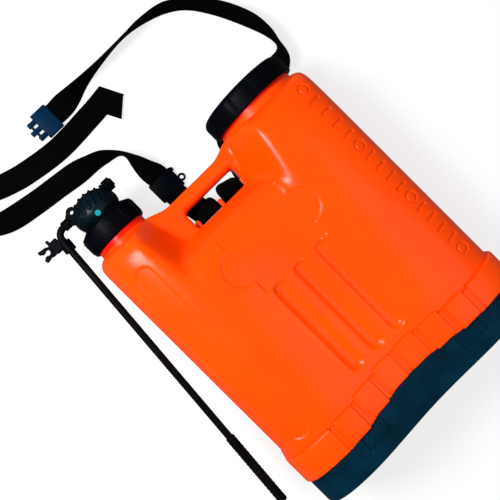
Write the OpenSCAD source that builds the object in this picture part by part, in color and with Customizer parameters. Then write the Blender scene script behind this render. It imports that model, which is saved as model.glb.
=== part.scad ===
// Knapsack sprayer with a two-tower tank, a side lever pump and a webbing harness.
// It lies on its back: X runs to the right across the front, Y runs up the sprayer from its
// foot to its caps, and Z points out of the front. The origin is the middle of the foot.

/* [Tank] */
// Width of the tank across its two columns
tank_w = 380; // [360:5:400]
// Depth of the tank from its back rails to its front crests
tank_d = 164; // [150:2:176]
// Height of the tower tops above the foot
tower_h = 436; // [396:1:470]
// Drop from the tower tops to the saddle between them
saddle_drop = 62; // [56:1:66]
// Wall of the blow-moulded tank
tank_wall = 3.5; // [2.5:0.5:5]
// How far the front sinks in between its two crests
front_dip = 14; // [8:1:18]
// How far the back sinks in between its two rails
back_dip = 8; // [4:1:10]
// Width of the pump tower
pump_tower_w = 86; // [84:1:90]
// Width of the filler tower
filler_tower_w = 136; // [134:1:140]
// Width of the slope from a tower down to the saddle
ramp_w = 22; // [18:1:24]
// Slope of the saddle down to its front edge, drop over run
saddle_slope = 0.45; // [0.3:0.05:0.5]
// How fast the towers stand apart toward the front, step over run
tower_lean = 0.5; // [0.3:0.05:0.6]
// Slope of the tower tops down to their front edge, drop over run
tower_slope = 0.18; // [0.1:0.02:0.24]
// Radius of the towers' outer top corners
shoulder_r = 18; // [12:1:22]

/* [Tank front] */
// Middle of the label panel and of the flutes
feature_x = -5; // [-12:1:6]
// Width of the label panel
label_w = 108; // [90:2:120]
// Height of the label panel
label_h = 94; // [80:2:104]
// Drop from the saddle to the middle of the label panel
label_drop = 74.5; // [68:0.5:80]
// Radius of the round lobe on each side of the label panel
lobe_r = 26; // [20:1:32]
// How far the label panel, the strip and the level marks are sunk into the front
emboss = 1.2; // [0.8:0.2:1.8]
// Distance from flute to flute
flute_pitch = 37.2; // [34:0.2:40]
// Radius of a flute's round bottom
flute_r = 15; // [12:1:16]
// Depth of a flute
flute_d = 4.5; // [3:0.5:5]
// Rise from the base's top to the flutes' lower ends
flute_rise = 70.5; // [66:0.5:90]
// Drop from the saddle to the flutes' upper ends
flute_drop = 130; // [124:1:140]
// Distance of the level strip's middle from the tank's side
strip_inset = 36; // [34:1:40]
// Width of that strip
strip_w = 27; // [20:1:28]
// Drop from the tower tops to that strip's upper end
strip_drop = 46.5; // [40:0.5:60]
// Distance of the level marks' middle from the tank's side
scale_inset = 27; // [22:1:32]
// Rise from the base's top to the lowest level ring
scale_rise = 73.5; // [66:0.5:80]
// Distance from one level ring to the next
scale_pitch = 94; // [88:1:96]
// Outer radius of a level ring
scale_ring_r = 8.5; // [5:0.5:9]

/* [Skirt and base] */
// Height of the base at its corners
base_h = 40.5; // [36:0.5:46]
// Height of the skirt's blocks
block_h = 39; // [34:1:42]
// How far the skirt's middle arches up at the front
arch_h = 10.8; // [8:0.2:13]
// How far the skirt's band stands out of the tank
skirt_out = 3; // [2:0.5:4]
// How far the skirt's blocks stand out of its band
block_out = 2; // [1:0.5:3]
// How far the base stands out of the tank
base_out = 2; // [1:0.5:2.5]
// Wall of the base
base_wall = 5.4; // [4:0.2:6]
// Thickness of the base's floor
base_floor = 4; // [3:0.5:6]
// Height of the tank's underside in the base
plug_y = 32; // [28:1:34]
// Radius of the base screws
screw_r = 2.5; // [2:0.25:3]
// Distance of the base screws from the middle, across the tank
screw_x = 120; // [100:5:130]
// Distance of the base screws from the middle, front to back
screw_z = 45; // [35:1:50]
// Radius of the harness pins at the back of the base
anchor_r = 2.5; // [2:0.25:3]

/* [Handle] */
// Thickness of the carrying handle
handle_t = 23; // [20:1:24]
// Depth of the carrying handle, front to back
handle_d = 44; // [36:1:48]
// Drop from the tower tops to the handle's top
handle_drop = 10; // [6:1:12]
// Left end of the hand opening
hand_left_x = -58; // [-60:1:-56]
// Right end of the hand opening
hand_right_x = 32; // [30:1:34]

/* [Filler] */
// Distance of the filler's axis from its side of the tank
filler_inset = 74.5; // [73:0.5:77]
// Outer radius of the filler neck
filler_neck_r = 63.5; // [60:0.5:64]
// Wall of the filler neck
filler_neck_wall = 5; // [4:0.5:6]
// Height of the filler neck above its tower
filler_neck_h = 25.5; // [23:0.5:28]
// Height of the filler cap
cap_h = 30; // [27:1:33]
// Wall of the filler cap
cap_wall = 6.3; // [4:0.1:6.6]
// Thickness of the seal under the cap
cap_seal_t = 3; // [2:0.5:4]
// Depth of the strainer basket
basket_h = 84; // [60:2:100]
// Wall of the strainer basket
basket_wall = 2; // [1.6:0.2:3]

/* [Pump] */
// Distance of the pump's axis from its side of the tank
pump_inset = 51.5; // [50:0.5:53]
// Outer radius of the pump neck
pump_neck_r = 38.5; // [37:0.5:38.5]
// Wall of the pump neck
pump_neck_wall = 4.5; // [4:0.5:5]
// Height of the pump neck above its tower
pump_neck_h = 28.5; // [27:0.5:31]
// Outer radius of the ring nut
ring_nut_r = 43.2; // [42.8:0.2:44]
// Height of the ring nut
ring_nut_h = 34; // [32:1:35]
// Radius of the pump head's dome
dome_r = 34.5; // [34:0.5:36]
// Height of the rocker's pivot above the pump neck's rim
pivot_rise = 18; // [17.5:0.5:20]
// Radius of the rocker's pivot pin
pivot_r = 4; // [3:0.5:4.5]
// Reach of the rocker's drive pin from its pivot
drive_reach = 18; // [17:0.5:19]
// Turn of the lever over a full stroke, in degrees
stroke_turn = 50; // [40:1:54]
// Outer radius of the pump cylinder
barrel_r = 14; // [13:0.5:14.5]
// Wall of the pump cylinder
barrel_wall = 2.5; // [2:0.25:3]
// Length of the pump cylinder
barrel_h = 88; // [80:2:96]
// Radius of the piston rod
piston_rod_r = 5; // [4:0.5:5.5]
// Outer radius of the suction pipe
suction_r = 7; // [6:0.5:8]
// Outer radius of the outlet spigot
outlet_r = 6; // [5:0.5:6.5]
// Radius of the outlet's bore
outlet_bore_r = 3.2; // [2.5:0.1:3.6]

/* [Lever] */
// Radius of the lever rod
lever_r = 5; // [4:0.25:5.5]
// Distance of the rod's elbow from the pump's middle
elbow_reach = 60; // [59:1:66]
// Bend radius of the rod's elbow
elbow_r = 12; // [11:0.5:12]
// Length of the rod below its elbow
lever_drop = 457; // [400:1:470]
// Angle by which the rod leans away from the tank
lever_splay = 4.8; // [4:0.1:6]
// Length of the grip on the rod
grip_h = 110; // [90:5:140]
// Outer radius of the grip
grip_r = 6.6; // [6.2:0.1:8]
// Radius of the tube that the lance clip holds
lance_r = 4; // [3.5:0.25:4.5]

/* [Harness] */
// Width of the webbing
strap_w = 35; // [30:1:35]
// Thickness of the webbing
strap_t = 1.8; // [1.2:0.2:2]
// Radius of the rod that holds the two straps
strap_rod_r = 2.5; // [2:0.25:3]
// Height of a buckle
buckle_t = 9; // [8:0.5:11]

/* [Hidden] */
$fn = 64;
// Play between parts that are screwed or pressed together
fit = 0.05;
// Play between parts that only stand next to each other
gap = 0.3;
eps = 1;
// How far a cut reaches past the faces that it goes through
far = 60;
half_w = tank_w / 2;
// Half width that the strap's route round the filler is drawn for
drawn_half_w = 190;
pump_x = pump_inset - half_w;
filler_x = half_w - filler_inset;
pump_side_x = pump_tower_w - half_w;
filler_side_x = half_w - filler_tower_w;
strip_x = strip_inset - half_w;
scale_x = half_w - scale_inset;
saddle_h = tower_h - saddle_drop;
slope_z = 22;
label_y = saddle_h - label_drop;
flute_low_y = base_h + flute_rise;
flute_top_y = saddle_h - flute_drop;
strip_low_y = base_h + block_h + 13;
strip_top_y = tower_h - strip_drop;
scale_low_y = base_h + scale_rise;
scale_top_step = 9.5;
handle_top_y = tower_h - handle_drop;
flare_l = 36;
back_z = -tank_d / 2;
crest_z = tank_d / 2 + 5;
dip_span = 135;
back_span = 70;
end_turn = 86;
plan_steps = 44;
corner_power = 0.2;
ring_shares = [1, 0.985, 0.96, 0.92, 0.85, 0.72, 0.55, 0.35, 0.12];
loft_low_y = base_h + 4;
skirt_top_y = base_h + block_h - 7;
strap_play = 1.5;
rod_y = saddle_h + 6.5;
rod_lug_w = 6;
rod_lug_pitch = strap_w + strap_play + rod_lug_w;
rod_mid_x = (hand_left_x + hand_right_x) / 2 + 2;
rod_h = -back_z;
filler_rim_y = tower_h + filler_neck_h;
filler_bore_r = filler_neck_r - filler_neck_wall;
flange_t = 2.5;
cap_under_y = filler_rim_y + flange_t + gap + cap_seal_t + gap;
cap_top_t = 4;
cap_low_y = cap_under_y + cap_top_t - cap_h;
cap_r = filler_neck_r + gap + cap_wall;
vent_r = 3;
pump_rim_y = tower_h + pump_neck_h;
pump_bore_r = pump_neck_r - pump_neck_wall;
seal_t = 2;
head_flange_t = 4;
head_low_y = pump_rim_y + seal_t;
nut_lip_y = head_low_y + head_flange_t + gap;
nut_lip_t = 7.5;
nut_low_y = nut_lip_y + nut_lip_t - ring_nut_h;
waist_r = pump_bore_r - 4;
dome_low_y = nut_lip_y + nut_lip_t + 1.7;
pivot_y = pump_rim_y + pivot_rise;
dome_y = pivot_y + 8;
dome_h = 27.5;
hub_r = pivot_r + 5.5;
slot_half = 6.5;
slot_low_y = head_low_y + 0.5;
rocker_half = slot_half - 0.5;
drive_pin_r = 2.5;
drive_turn = stroke_turn / 2;
drive_y = pivot_y + drive_reach * sin(drive_turn);
barrel_x = pump_x + drive_reach * (1 + cos(drive_turn)) / 2;
piston_stroke = 2 * drive_reach * sin(drive_turn);
barrel_top_y = pump_rim_y - 6.5;
barrel_low_y = barrel_top_y - barrel_h;
barrel_bore_r = barrel_r - barrel_wall;
socket_low_y = barrel_top_y - 14;
outlet_y = pivot_y + 22.5;
outlet_end_x = pump_x + dome_r + 9.5;
outlet_nut_l = 12.4;
outlet_nut_x = outlet_end_x - 2 - outlet_nut_l;
outlet_bore_l = 17;
arm_y = pivot_y + 23;
elbow_x = pump_x - elbow_reach;
boss_r = lever_r + 2.2;
boss_in_x = pump_x - dome_r - 0.7;
boss_l = boss_in_x - elbow_x - elbow_r - 0.8;
clip_x = elbow_x - 25.5;
clip_y = arm_y - 10;
grip_bore_r = lever_r + fit;
slot_h = strap_t + 3;
buckle_rise = 5.5;
adjuster_at = [-41.5, 84];
hook_at = [-98, 271.5];

// Each point of a strap: across, up from the saddle, height of the middle of the webbing above the
// floor, then the compass turn and the lean of the webbing's width, in degrees.
strap_left_route = [
    [-32, 16, rod_h + 4.6, 0, 0], [-32, 7.5, rod_h + 4.6, 0, 0], [-32, 2.4, rod_h + 1, 0, 0],
    [-32, 2.6, rod_h - 8, 0, 0], [-33, 5, rod_h - 18, 0, 0], [-34, 10, rod_h - 28, 0, 0],
    [-35, 20, rod_h - 38, 0, 0], [-37, 34, 33, 0, 0], [-39, 48, 20, 0, 0], [-41, 60, 9, 0, 0],
    [-41.5, 70, 5.5, 0, 0], [-41.5, 84, 5.5, 0, 0], [-41.8, 102, 5.5, 0, 0], [-46, 119, 12, 8, 38],
    [-49.5, 139, 17.2, 19, 66], [-56, 161, 18.5, 39, 90], [-77.5, 175, 17.3, 59, 66],
    [-100, 182, 14.5, 73, 50], [-122, 187, 9, 80, 24], [-150, 192.5, 2, 83, 2], [-195, 198.5, 2.2, 82, 3],
    [-238, 205.5, 10, 74, 28], [-268, 219, 16, 52, 58], [-286, 238, 18.6, 12, 82], [-281, 259, 18.6, -45, 82],
    [-258, 264, 14, -84, 46], [-232, 257.5, 5, -102, 12], [-205, 247.5, 2.4, -106, 3],
    [-170, 238.5, 1.6, -100, 0], [-113, 231.5, 1.5, -92, 0], [-45, 235, 1.5, -87, 0], [0, 238, 1.5, -86, 0]];
strap_right_route = [
    [10, 16, rod_h + 4.6, 0, 0], [10, 7.5, rod_h + 4.6, 0, 0], [10, 2.4, rod_h + 1, 0, 0],
    [10, 2.4, rod_h - 8, 0, 0], [10, 2.4, rod_h - 30, 0, 0], [10, 2.4, rod_h - 45, 0, 0],
    [12.5, 2.4, 27.5, 0, 30], [19.5, 2.6, 20.5, 0, 60], [28, 3.6, 18.6, 0, 88], [34, 8.5, 18.5, 0, 90],
    [37.6, 19.5, 18.5, 0, 90], [41.6, 36, 18.5, 0, 90], [45.6, 51.5, 18.5, -90, 90],
    [50, 62.6, 18.5, -90, 90], [57.5, 66.2, 18.1, -90, 78], [70, 73, 13, -90, 43], [84, 80, 7, -90, 19],
    [100, 83.2, 3.8, -90, 8], [120, 86, 2.4, -90, 4], [145, 87, 2, -90, 1], [174, 88, 3, -84, 4],
    [195, 92, 7, -64, 16], [211, 100, 14.5, -40, 50], [221, 115, 18.3, -14, 92], [223, 139, 18.6, 6, 85],
    [215, 173, 17.8, 20, 70], [194, 216, 17.8, 29, 71], [167, 248, 18.7, 44, 85], [139, 269, 18.6, 64, 82],
    [100, 278.5, 18.7, 82, 92], [62, 280, 18.5, 94, 100], [13, 276.5, 18.6, 97, 92],
    [-27, 273, 17.9, 95, 73], [-56, 271, 12, 92, 40], [-76, 271.3, 6, 90, 4],
    [-86, 271.5, 5.5, 90, 0], [-98, 271.5, 5.5, 90, 0]];

// Shape rules of the tank
function bump(x, span) = abs(x) < span ? pow(cos(90 * x / span), 2) : 0;
function smooth(t) = let(u = min(1, max(0, t))) u * u * (3 - 2 * u);
function end_round(x) = pow(max(0.001, 1 - pow(abs(x) / half_w, 4)), 0.25);
function front_z(x, dip = front_dip) = crest_z * end_round(x) - dip * bump(x, dip_span);
function rail_z(x) = back_dip * bump(x, back_span) - min(crest_z * end_round(x), -back_z);
function arch(x) = arch_h * bump(x, 130);
function shoulder_drop(x) =
    let(d = max(0, abs(x) - half_w + shoulder_r)) shoulder_r - sqrt(max(0, shoulder_r * shoulder_r - d * d));
function tower(x, inset) = max(smooth((pump_side_x - inset + ramp_w - x) / ramp_w),
    smooth((x - filler_side_x - inset + ramp_w) / ramp_w));
function top_y(x, inset, z) = let(
    out = max(0, z - slope_z),
    t = tower(x, inset + tower_lean * out))
    saddle_h - out * (saddle_slope * (1 - t) + tower_slope * t) + saddle_drop * t - shoulder_drop(x) - inset;
function squared(v) = sign(v) * pow(abs(v), corner_power);
function flat(v) = max(-1, min(1, 1.015 * squared(v)));

// Outline of the tank in plan, moved out by grow, with its back kept on the floor
function plan_x(i, grow) = (half_w + grow) * sin(end_turn * (2 * i / plan_steps - 1));
function plan(grow) = concat(
    [for (i = [0:plan_steps]) [plan_x(i, grow), front_z(plan_x(i, 0)) + grow]],
    [for (i = [plan_steps:-1:0]) [plan_x(i, grow), max(rail_z(plan_x(i, 0)) - grow, back_z)]]);

// Turns of the points of a ring, from the middle of the front over the top and round
quarter = [for (u = ring_shares) acos(pow(u, 1 / corner_power))];
ring_turns = concat(quarter, [for (i = [8:-1:0]) 180 - quarter[i]],
    [for (i = [1:8]) 180 + quarter[i]], [for (i = [8:-1:1]) 360 - quarter[i]]);

// One ring of the tank's skin at x, moved in by inset
function tank_ring(x, inset) = let(
    dip = front_dip + (inset > 0 ? flute_d : 0),
    front = front_z(x, dip) - inset,
    back = rail_z(x) + inset,
    low = loft_low_y + inset)
    [for (a = ring_turns) let(
        z = (front + back + (front - back) * flat(cos(a))) / 2,
        top = top_y(x, inset, z))
        [x * (half_w - inset) / half_w, (low + top + (top - low) * squared(sin(a))) / 2, z]];

// Closed skin over a row of rings that all have as many points
module skin(rings) {
    sides = len(rings[0]);
    last = len(rings) - 1;
    points = [for (ring = rings) each ring];
    walls = [for (i = [0:last - 1]) for (k = [0:sides - 1]) let(
        a = i * sides + k,
        b = i * sides + (k + 1) % sides,
        c = b + sides,
        d = a + sides) each [[a, b, c], [a, c, d]]];
    first_end = [for (k = [1:sides - 2]) [0, k + 1, k]];
    last_end = [for (k = [1:sides - 2]) [last * sides, last * sides + k, last * sides + k + 1]];
    polyhedron(points, concat(walls, first_end, last_end), convexity = 8);
}

// A strap's middle line, curved through its route points
function blend(p0, p1, p2, p3, f) = (2 * p1 + (p2 - p0) * f + (2 * p0 - 5 * p1 + 4 * p2 - p3) * f * f
    + (3 * p1 - p0 - 3 * p2 + p3) * f * f * f) / 2;
function strap_line(route, steps) = let(n = len(route) - 1) concat(
    [for (i = [0:n - 1]) for (j = [0:steps - 1])
        blend(route[max(0, i - 1)], route[i], route[i + 1], route[min(n, i + 2)], j / steps)],
    [route[n]]);
function unit(v) = v / norm(v);
function strap_ring(line, i) = let(
    at = line[i],
    middle = [at[0], saddle_h + at[1], back_z + at[2]],
    before = line[max(0, i - 1)],
    after = line[min(len(line) - 1, i + 1)],
    along = unit([for (k = [0:2]) after[k] - before[k]]),
    aim = [cos(at[3]) * cos(at[4]), sin(at[3]) * cos(at[4]), sin(at[4])],
    across = unit(aim - (aim * along) * along) * strap_w / 2,
    through = unit(cross(along, across)) * strap_t / 2)
    [middle + across + through, middle + across - through,
        middle - across - through, middle - across + through];

// Placing
module upright(x, y, z = 0) translate([x, y, z]) rotate([-90, 0, 0]) children();
module sideways(x, y, z = 0) translate([x, y, z]) rotate([0, 90, 0]) children();
module box(low, high) translate(low) cube(high - low);
module plan_prism(grow, low_y, high_y) translate([0, high_y, 0]) rotate([90, 0, 0])
    linear_extrude(high_y - low_y) polygon(plan(grow));
module ring(outer, inner, h) difference() {
    cylinder(r = outer, h = h);
    translate([0, 0, -eps]) cylinder(r = inner, h = h + 2 * eps);
}

// A slab that follows the front between x0 and x1, from low to high off its surface
module front_slab(x0, x1, y0, y1, low, high) {
    steps = 8;
    xs = [for (i = [0:steps]) x0 + (x1 - x0) * i / steps];
    translate([0, y1, 0]) rotate([90, 0, 0]) linear_extrude(y1 - y0) polygon(concat(
        [for (x = xs) [x, front_z(x) + low]],
        [for (i = [steps:-1:0]) [xs[i], front_z(xs[i]) + high]]));
}

// Places of the skin's rings, close together where the towers rise
rise_reach = tower_lean * (crest_z - slope_z);
rise_left = pump_side_x - rise_reach;
rise_right = filler_side_x + rise_reach;
left_turn = asin(rise_left / half_w);
right_turn = asin(rise_right / half_w);
saddle_left = pump_side_x + ramp_w;
saddle_right = filler_side_x - ramp_w;
ring_places = concat(
    [for (i = [0:7]) half_w * sin(-end_turn + i * (left_turn + end_turn) / 8)],
    [for (i = [0:10]) rise_left + i * (saddle_left - rise_left) / 10],
    [for (i = [1:5]) saddle_left + i * (saddle_right - saddle_left) / 6],
    [for (i = [0:10]) saddle_right + i * (rise_right - saddle_right) / 10],
    [for (i = [1:8]) half_w * sin(right_turn + i * (end_turn - right_turn) / 8)]);

module tank_skin(inset) skin([for (x = ring_places) tank_ring(x, inset)]);

module tank_inside() {
    tank_skin(tank_wall);
    plan_prism(-base_wall + base_out - gap - tank_wall, plug_y + tank_wall, loft_low_y + 20);
}

// Skirt blocks between the two corner blocks, with a thin rib in each gap
block_count = 6;
block_pitch = 40.5;
block_gap = 9.5;
rib_x = -block_count * block_pitch / 2;
corner_x = -rib_x + block_gap / 2;
module skirt_blocks() {
    out = skirt_out + block_out;
    for (i = [0:block_count - 1]) {
        x = rib_x + (i + 0.5) * block_pitch;
        w = block_pitch - block_gap;
        front_slab(x - w / 2, x + w / 2, base_h + arch(x), base_h + block_h + arch(x), -2, out);
    }
    for (i = [0:block_count]) {
        x = rib_x + i * block_pitch;
        front_slab(x - 1.2, x + 1.2, base_h + arch(x), base_h + block_h + arch(x) - 2, -2, out - 0.6);
    }
    for (side = [-1, 1]) intersection() {
        plan_prism(out, base_h, base_h + block_h);
        box([min(side * corner_x, side * 2 * half_w), 0, back_z],
            [max(side * corner_x, side * 2 * half_w), tower_h, crest_z + far]);
    }
}

// The hollow under the arched skirt, which the base's front fills
module arch_space() difference() {
    translate([0, 0, 30]) linear_extrude(100) polygon(concat(
        [for (i = [0:26]) let(x = -130 + 10 * i) [x, base_h + arch(x)]],
        [[130, base_h - eps], [-130, base_h - eps]]));
    plan_prism(-base_wall + base_out - gap, base_h - 2 * eps, base_h + far);
}

// The handle's top rises to the towers at its ends
module handle_flare(from_x, to_x) translate([0, 0, 5 - handle_d / 2]) linear_extrude(handle_d - 10)
    polygon(concat([for (i = [0:8]) [from_x + (to_x - from_x) * i / 8, handle_top_y - 0.5
        + (handle_drop + 0.5) * smooth(i / 8)]], [[to_x, handle_top_y - 8], [from_x, handle_top_y - 8]]));
module handle() {
    r = handle_t / 2;
    mid_y = handle_top_y - r;
    left = pump_side_x - 6;
    right = filler_side_x + 6;
    for (z = [r - handle_d / 2, handle_d / 2 - r]) sideways(left, mid_y, z) cylinder(r = r, h = right - left);
    box([left, mid_y - r, r - handle_d / 2], [right, mid_y + r, handle_d / 2 - r]);
    handle_flare(pump_side_x + flare_l, pump_side_x);
    handle_flare(filler_side_x - flare_l, filler_side_x);
    box([left, saddle_h - 12, 2 - handle_d / 2], [hand_left_x, mid_y, handle_d / 2 - 2]);
    box([hand_right_x, saddle_h - 12, 2 - handle_d / 2], [right, mid_y, handle_d / 2 - 2]);
}

module strap_lugs() for (i = [-1, 0, 1])
    box([rod_mid_x + i * rod_lug_pitch - rod_lug_w / 2, saddle_h - 8, -6],
        [rod_mid_x + i * rod_lug_pitch + rod_lug_w / 2, rod_y + 5, 6]);

// The shapes that are sunk into the front
module label_panel() {
    lobe_x = label_w / 2;
    front_slab(feature_x - lobe_x, feature_x + lobe_x,
        label_y - label_h / 2, label_y + label_h / 2, -emboss, far);
    for (side = [-1, 1]) intersection() {
        front_slab(feature_x + side * lobe_x - lobe_r, feature_x + side * lobe_x + lobe_r,
            label_y - lobe_r, label_y + lobe_r, -emboss, far);
        translate([feature_x + side * lobe_x, label_y, 0]) cylinder(r = lobe_r, h = crest_z + far);
    }
}

module level_strip() intersection() {
    front_slab(strip_x - strip_w / 2, strip_x + strip_w / 2, strip_low_y, strip_top_y, -emboss, far);
    union() {
        for (y = [strip_low_y + strip_w / 2, strip_top_y - strip_w / 2])
            translate([strip_x, y, 0]) cylinder(r = strip_w / 2, h = crest_z + far);
        box([strip_x - strip_w, strip_low_y + strip_w / 2, 0],
            [strip_x + strip_w, strip_top_y - strip_w / 2, crest_z + far]);
    }
}

function level_y(i) = scale_low_y + i * scale_pitch + (i > 2 ? (i - 2) * scale_top_step : 0);
module level_marks() for (i = [0:3]) {
    y = level_y(i);
    intersection() {
        front_slab(scale_x - scale_ring_r, scale_x + scale_ring_r,
            y - scale_ring_r, y + scale_ring_r, -emboss, far);
        translate([scale_x, y, 0]) ring(scale_ring_r, scale_ring_r - 2.5, crest_z + far);
    }
    if (i < 3) for (j = [1:4]) {
        tick_y = y + j * (level_y(i + 1) - y) / 5;
        front_slab(scale_x - 9, scale_x + 9, tick_y - 1.9, tick_y + 1.9, -emboss, far);
    }
}

module flutes() for (i = [-1, 0, 1]) {
    x = feature_x + i * flute_pitch;
    z = front_z(x) + flute_r - flute_d;
    upright(x, flute_low_y, z) cylinder(r = flute_r, h = flute_top_y - flute_low_y);
    for (y = [flute_low_y, flute_top_y]) translate([x, y, z]) sphere(r = flute_r);
}

module screw_places() for (x = [-screw_x, screw_x]) for (z = [-screw_z, screw_z]) upright(x, 0, z) children();

module tank() color("#ff5200") difference() {
    union() {
        difference() {
            union() {
                tank_skin(0);
                plan_prism(skirt_out, base_h, skirt_top_y);
                plan_prism(-base_wall + base_out - gap, plug_y, base_h + eps);
                skirt_blocks();
                handle();
                strap_lugs();
                upright(filler_x, tower_h - 14) cylinder(r = filler_neck_r, h = filler_neck_h + 14);
                upright(pump_x, tower_h - 14) cylinder(r = pump_neck_r, h = pump_neck_h + 14);
            }
            tank_inside();
            arch_space();
        }
        screw_places() translate([0, 0, plug_y + 1]) cylinder(r = 3 * screw_r, h = 15);
    }
    upright(filler_x, tower_h - 30) cylinder(r = filler_bore_r, h = filler_neck_h + far);
    upright(pump_x, tower_h - 30) cylinder(r = pump_bore_r, h = pump_neck_h + far);
    flutes();
    label_panel();
    level_strip();
    level_marks();
    screw_places() translate([0, 0, plug_y - eps]) cylinder(r = screw_r + fit, h = 12 + eps);
    sideways(rod_mid_x - rod_lug_pitch - 10, rod_y)
        cylinder(r = strap_rod_r + fit, h = 2 * rod_lug_pitch + 20);
}

module base_front() intersection() {
    translate([0, 0, 30]) linear_extrude(100) polygon(concat(
        [for (i = [0:26]) let(x = -130 + 10 * i) [x, base_h - gap + arch(x)]],
        [[130, base_h - 2], [-130, base_h - 2]]));
    plan_prism(base_out, base_h - 3, base_h + arch_h);
}

// Harness pin places in the base's back corners
anchor_x = 128;
anchor_y = plug_y - 15;
notch_low_y = anchor_y - 9;
notch_top_y = anchor_y + 10;
pocket_x = 88;
pocket_half = 20;
pocket_low_y = 22;
anchor_z = back_z + 7;
module anchor_blocks() for (side = [-1, 1]) intersection() {
    box([side * anchor_x - 18, base_floor - eps, back_z], [side * anchor_x + 18, plug_y - eps, back_z + 26]);
    plan_prism(base_out, 0, base_h);
}
module anchor_notches() for (side = [-1, 1]) {
    box([side * anchor_x - 10, notch_low_y, back_z - eps], [side * anchor_x + 10, notch_top_y, back_z + 18]);
    sideways(side * anchor_x - 14.5, anchor_y, anchor_z) cylinder(r = anchor_r + fit, h = 29);
}

module base() color("#10181d") difference() {
    union() {
        difference() {
            union() {
                plan_prism(base_out, 0, base_h - gap);
                base_front();
            }
            plan_prism(base_out - base_wall, base_floor, base_h + 2 * arch_h);
            for (side = [-1, 1])
                front_slab(side * pocket_x - pocket_half, side * pocket_x + pocket_half, pocket_low_y,
                    base_h + 2 * arch_h, base_out - base_wall / 2, far);
        }
        screw_places() translate([0, 0, base_floor - eps])
            cylinder(r = 3 * screw_r + 1, h = plug_y - base_floor + eps);
        anchor_blocks();
    }
    screw_places() {
        translate([0, 0, -eps]) cylinder(r = screw_r + gap, h = plug_y + 2 * eps);
        translate([0, 0, -eps]) cylinder(r = 2 * screw_r + gap, h = 3 + eps);
    }
    anchor_notches();
}

module base_screws() color("silver") screw_places() {
    translate([0, 0, 0.4]) cylinder(r = 2 * screw_r, h = 2.6);
    translate([0, 0, 0.4]) cylinder(r = screw_r, h = plug_y + 10);
}

module anchor_pins() color("silver") for (side = [-1, 1])
    sideways(side * anchor_x - 14, anchor_y, anchor_z) cylinder(r = anchor_r, h = 28);

module strap_rod() color("silver")
    sideways(rod_mid_x - rod_lug_pitch - 9, rod_y) cylinder(r = strap_rod_r, h = 2 * rod_lug_pitch + 18);

module filler_strainer() color("#202427") {
    outer = filler_bore_r - gap;
    upright(filler_x, filler_rim_y) ring(filler_neck_r - eps, outer - basket_wall, flange_t);
    difference() {
        upright(filler_x, filler_rim_y - basket_h) difference() {
            cylinder(r = outer, h = basket_h + eps);
            translate([0, 0, basket_wall]) cylinder(r = outer - basket_wall, h = basket_h + 2 * eps);
        }
        upright(filler_x, filler_rim_y - basket_h) {
            for (turn = [0:30:330]) for (row = [0, 1]) rotate([0, 0, turn])
                translate([outer - 3 * basket_wall, -8, 8 + row * (basket_h / 2 - 8)])
                    cube([6 * basket_wall, 16, basket_h / 2 - 14]);
            for (turn = [0:60:300]) rotate([0, 0, turn])
                translate([14, -5, -eps]) cube([26, 10, 3 * basket_wall]);
        }
    }
}

module cap_seal() color("#303030") upright(filler_x, filler_rim_y + flange_t + gap)
    ring(filler_neck_r - 0.5, filler_bore_r + eps, cap_seal_t);

module filler_cap() color("#0b0f13") upright(filler_x, cap_low_y) difference() {
    chamfer = 7.5;
    rotate_extrude() polygon([[0, 0], [cap_r - 1.5, 0], [cap_r, 1.5], [cap_r, cap_h - chamfer],
        [cap_r - chamfer, cap_h], [0, cap_h]]);
    translate([0, 0, -eps]) cylinder(r = filler_neck_r + gap, h = cap_h - cap_top_t + eps);
    cylinder(r = vent_r + fit, h = cap_h + eps);
}

module cap_vent() color("#303030") upright(filler_x, cap_under_y) {
    translate([0, 0, -2]) cylinder(r = 2.5 * vent_r, h = 2);
    translate([0, 0, -eps]) cylinder(r = vent_r, h = cap_top_t + 2 * eps);
    translate([0, 0, cap_top_t]) cylinder(r = 2 * vent_r, h = 1.5);
}

module pump_seal() color("#303030") upright(pump_x, pump_rim_y) ring(pump_neck_r, pump_bore_r + 0.5, seal_t);

module dome(grow) upright(pump_x, dome_y) rotate_extrude() polygon(concat([[0, -(dome_h + grow) / 2]],
    [for (a = [-30:7.5:90]) [(dome_r + grow) * cos(a), (dome_h + grow) * sin(a)]]));

// Slanted ribs over the front and the back of the dome
module dome_ribs() intersection() {
    dome(1.3);
    for (i = [-2:2]) translate([pump_x + 9 * i, dome_y + dome_r / 2, 0]) rotate([0, 0, -14])
        box([-1.6, -11, -far], [1.6, far, far]);
}

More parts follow.
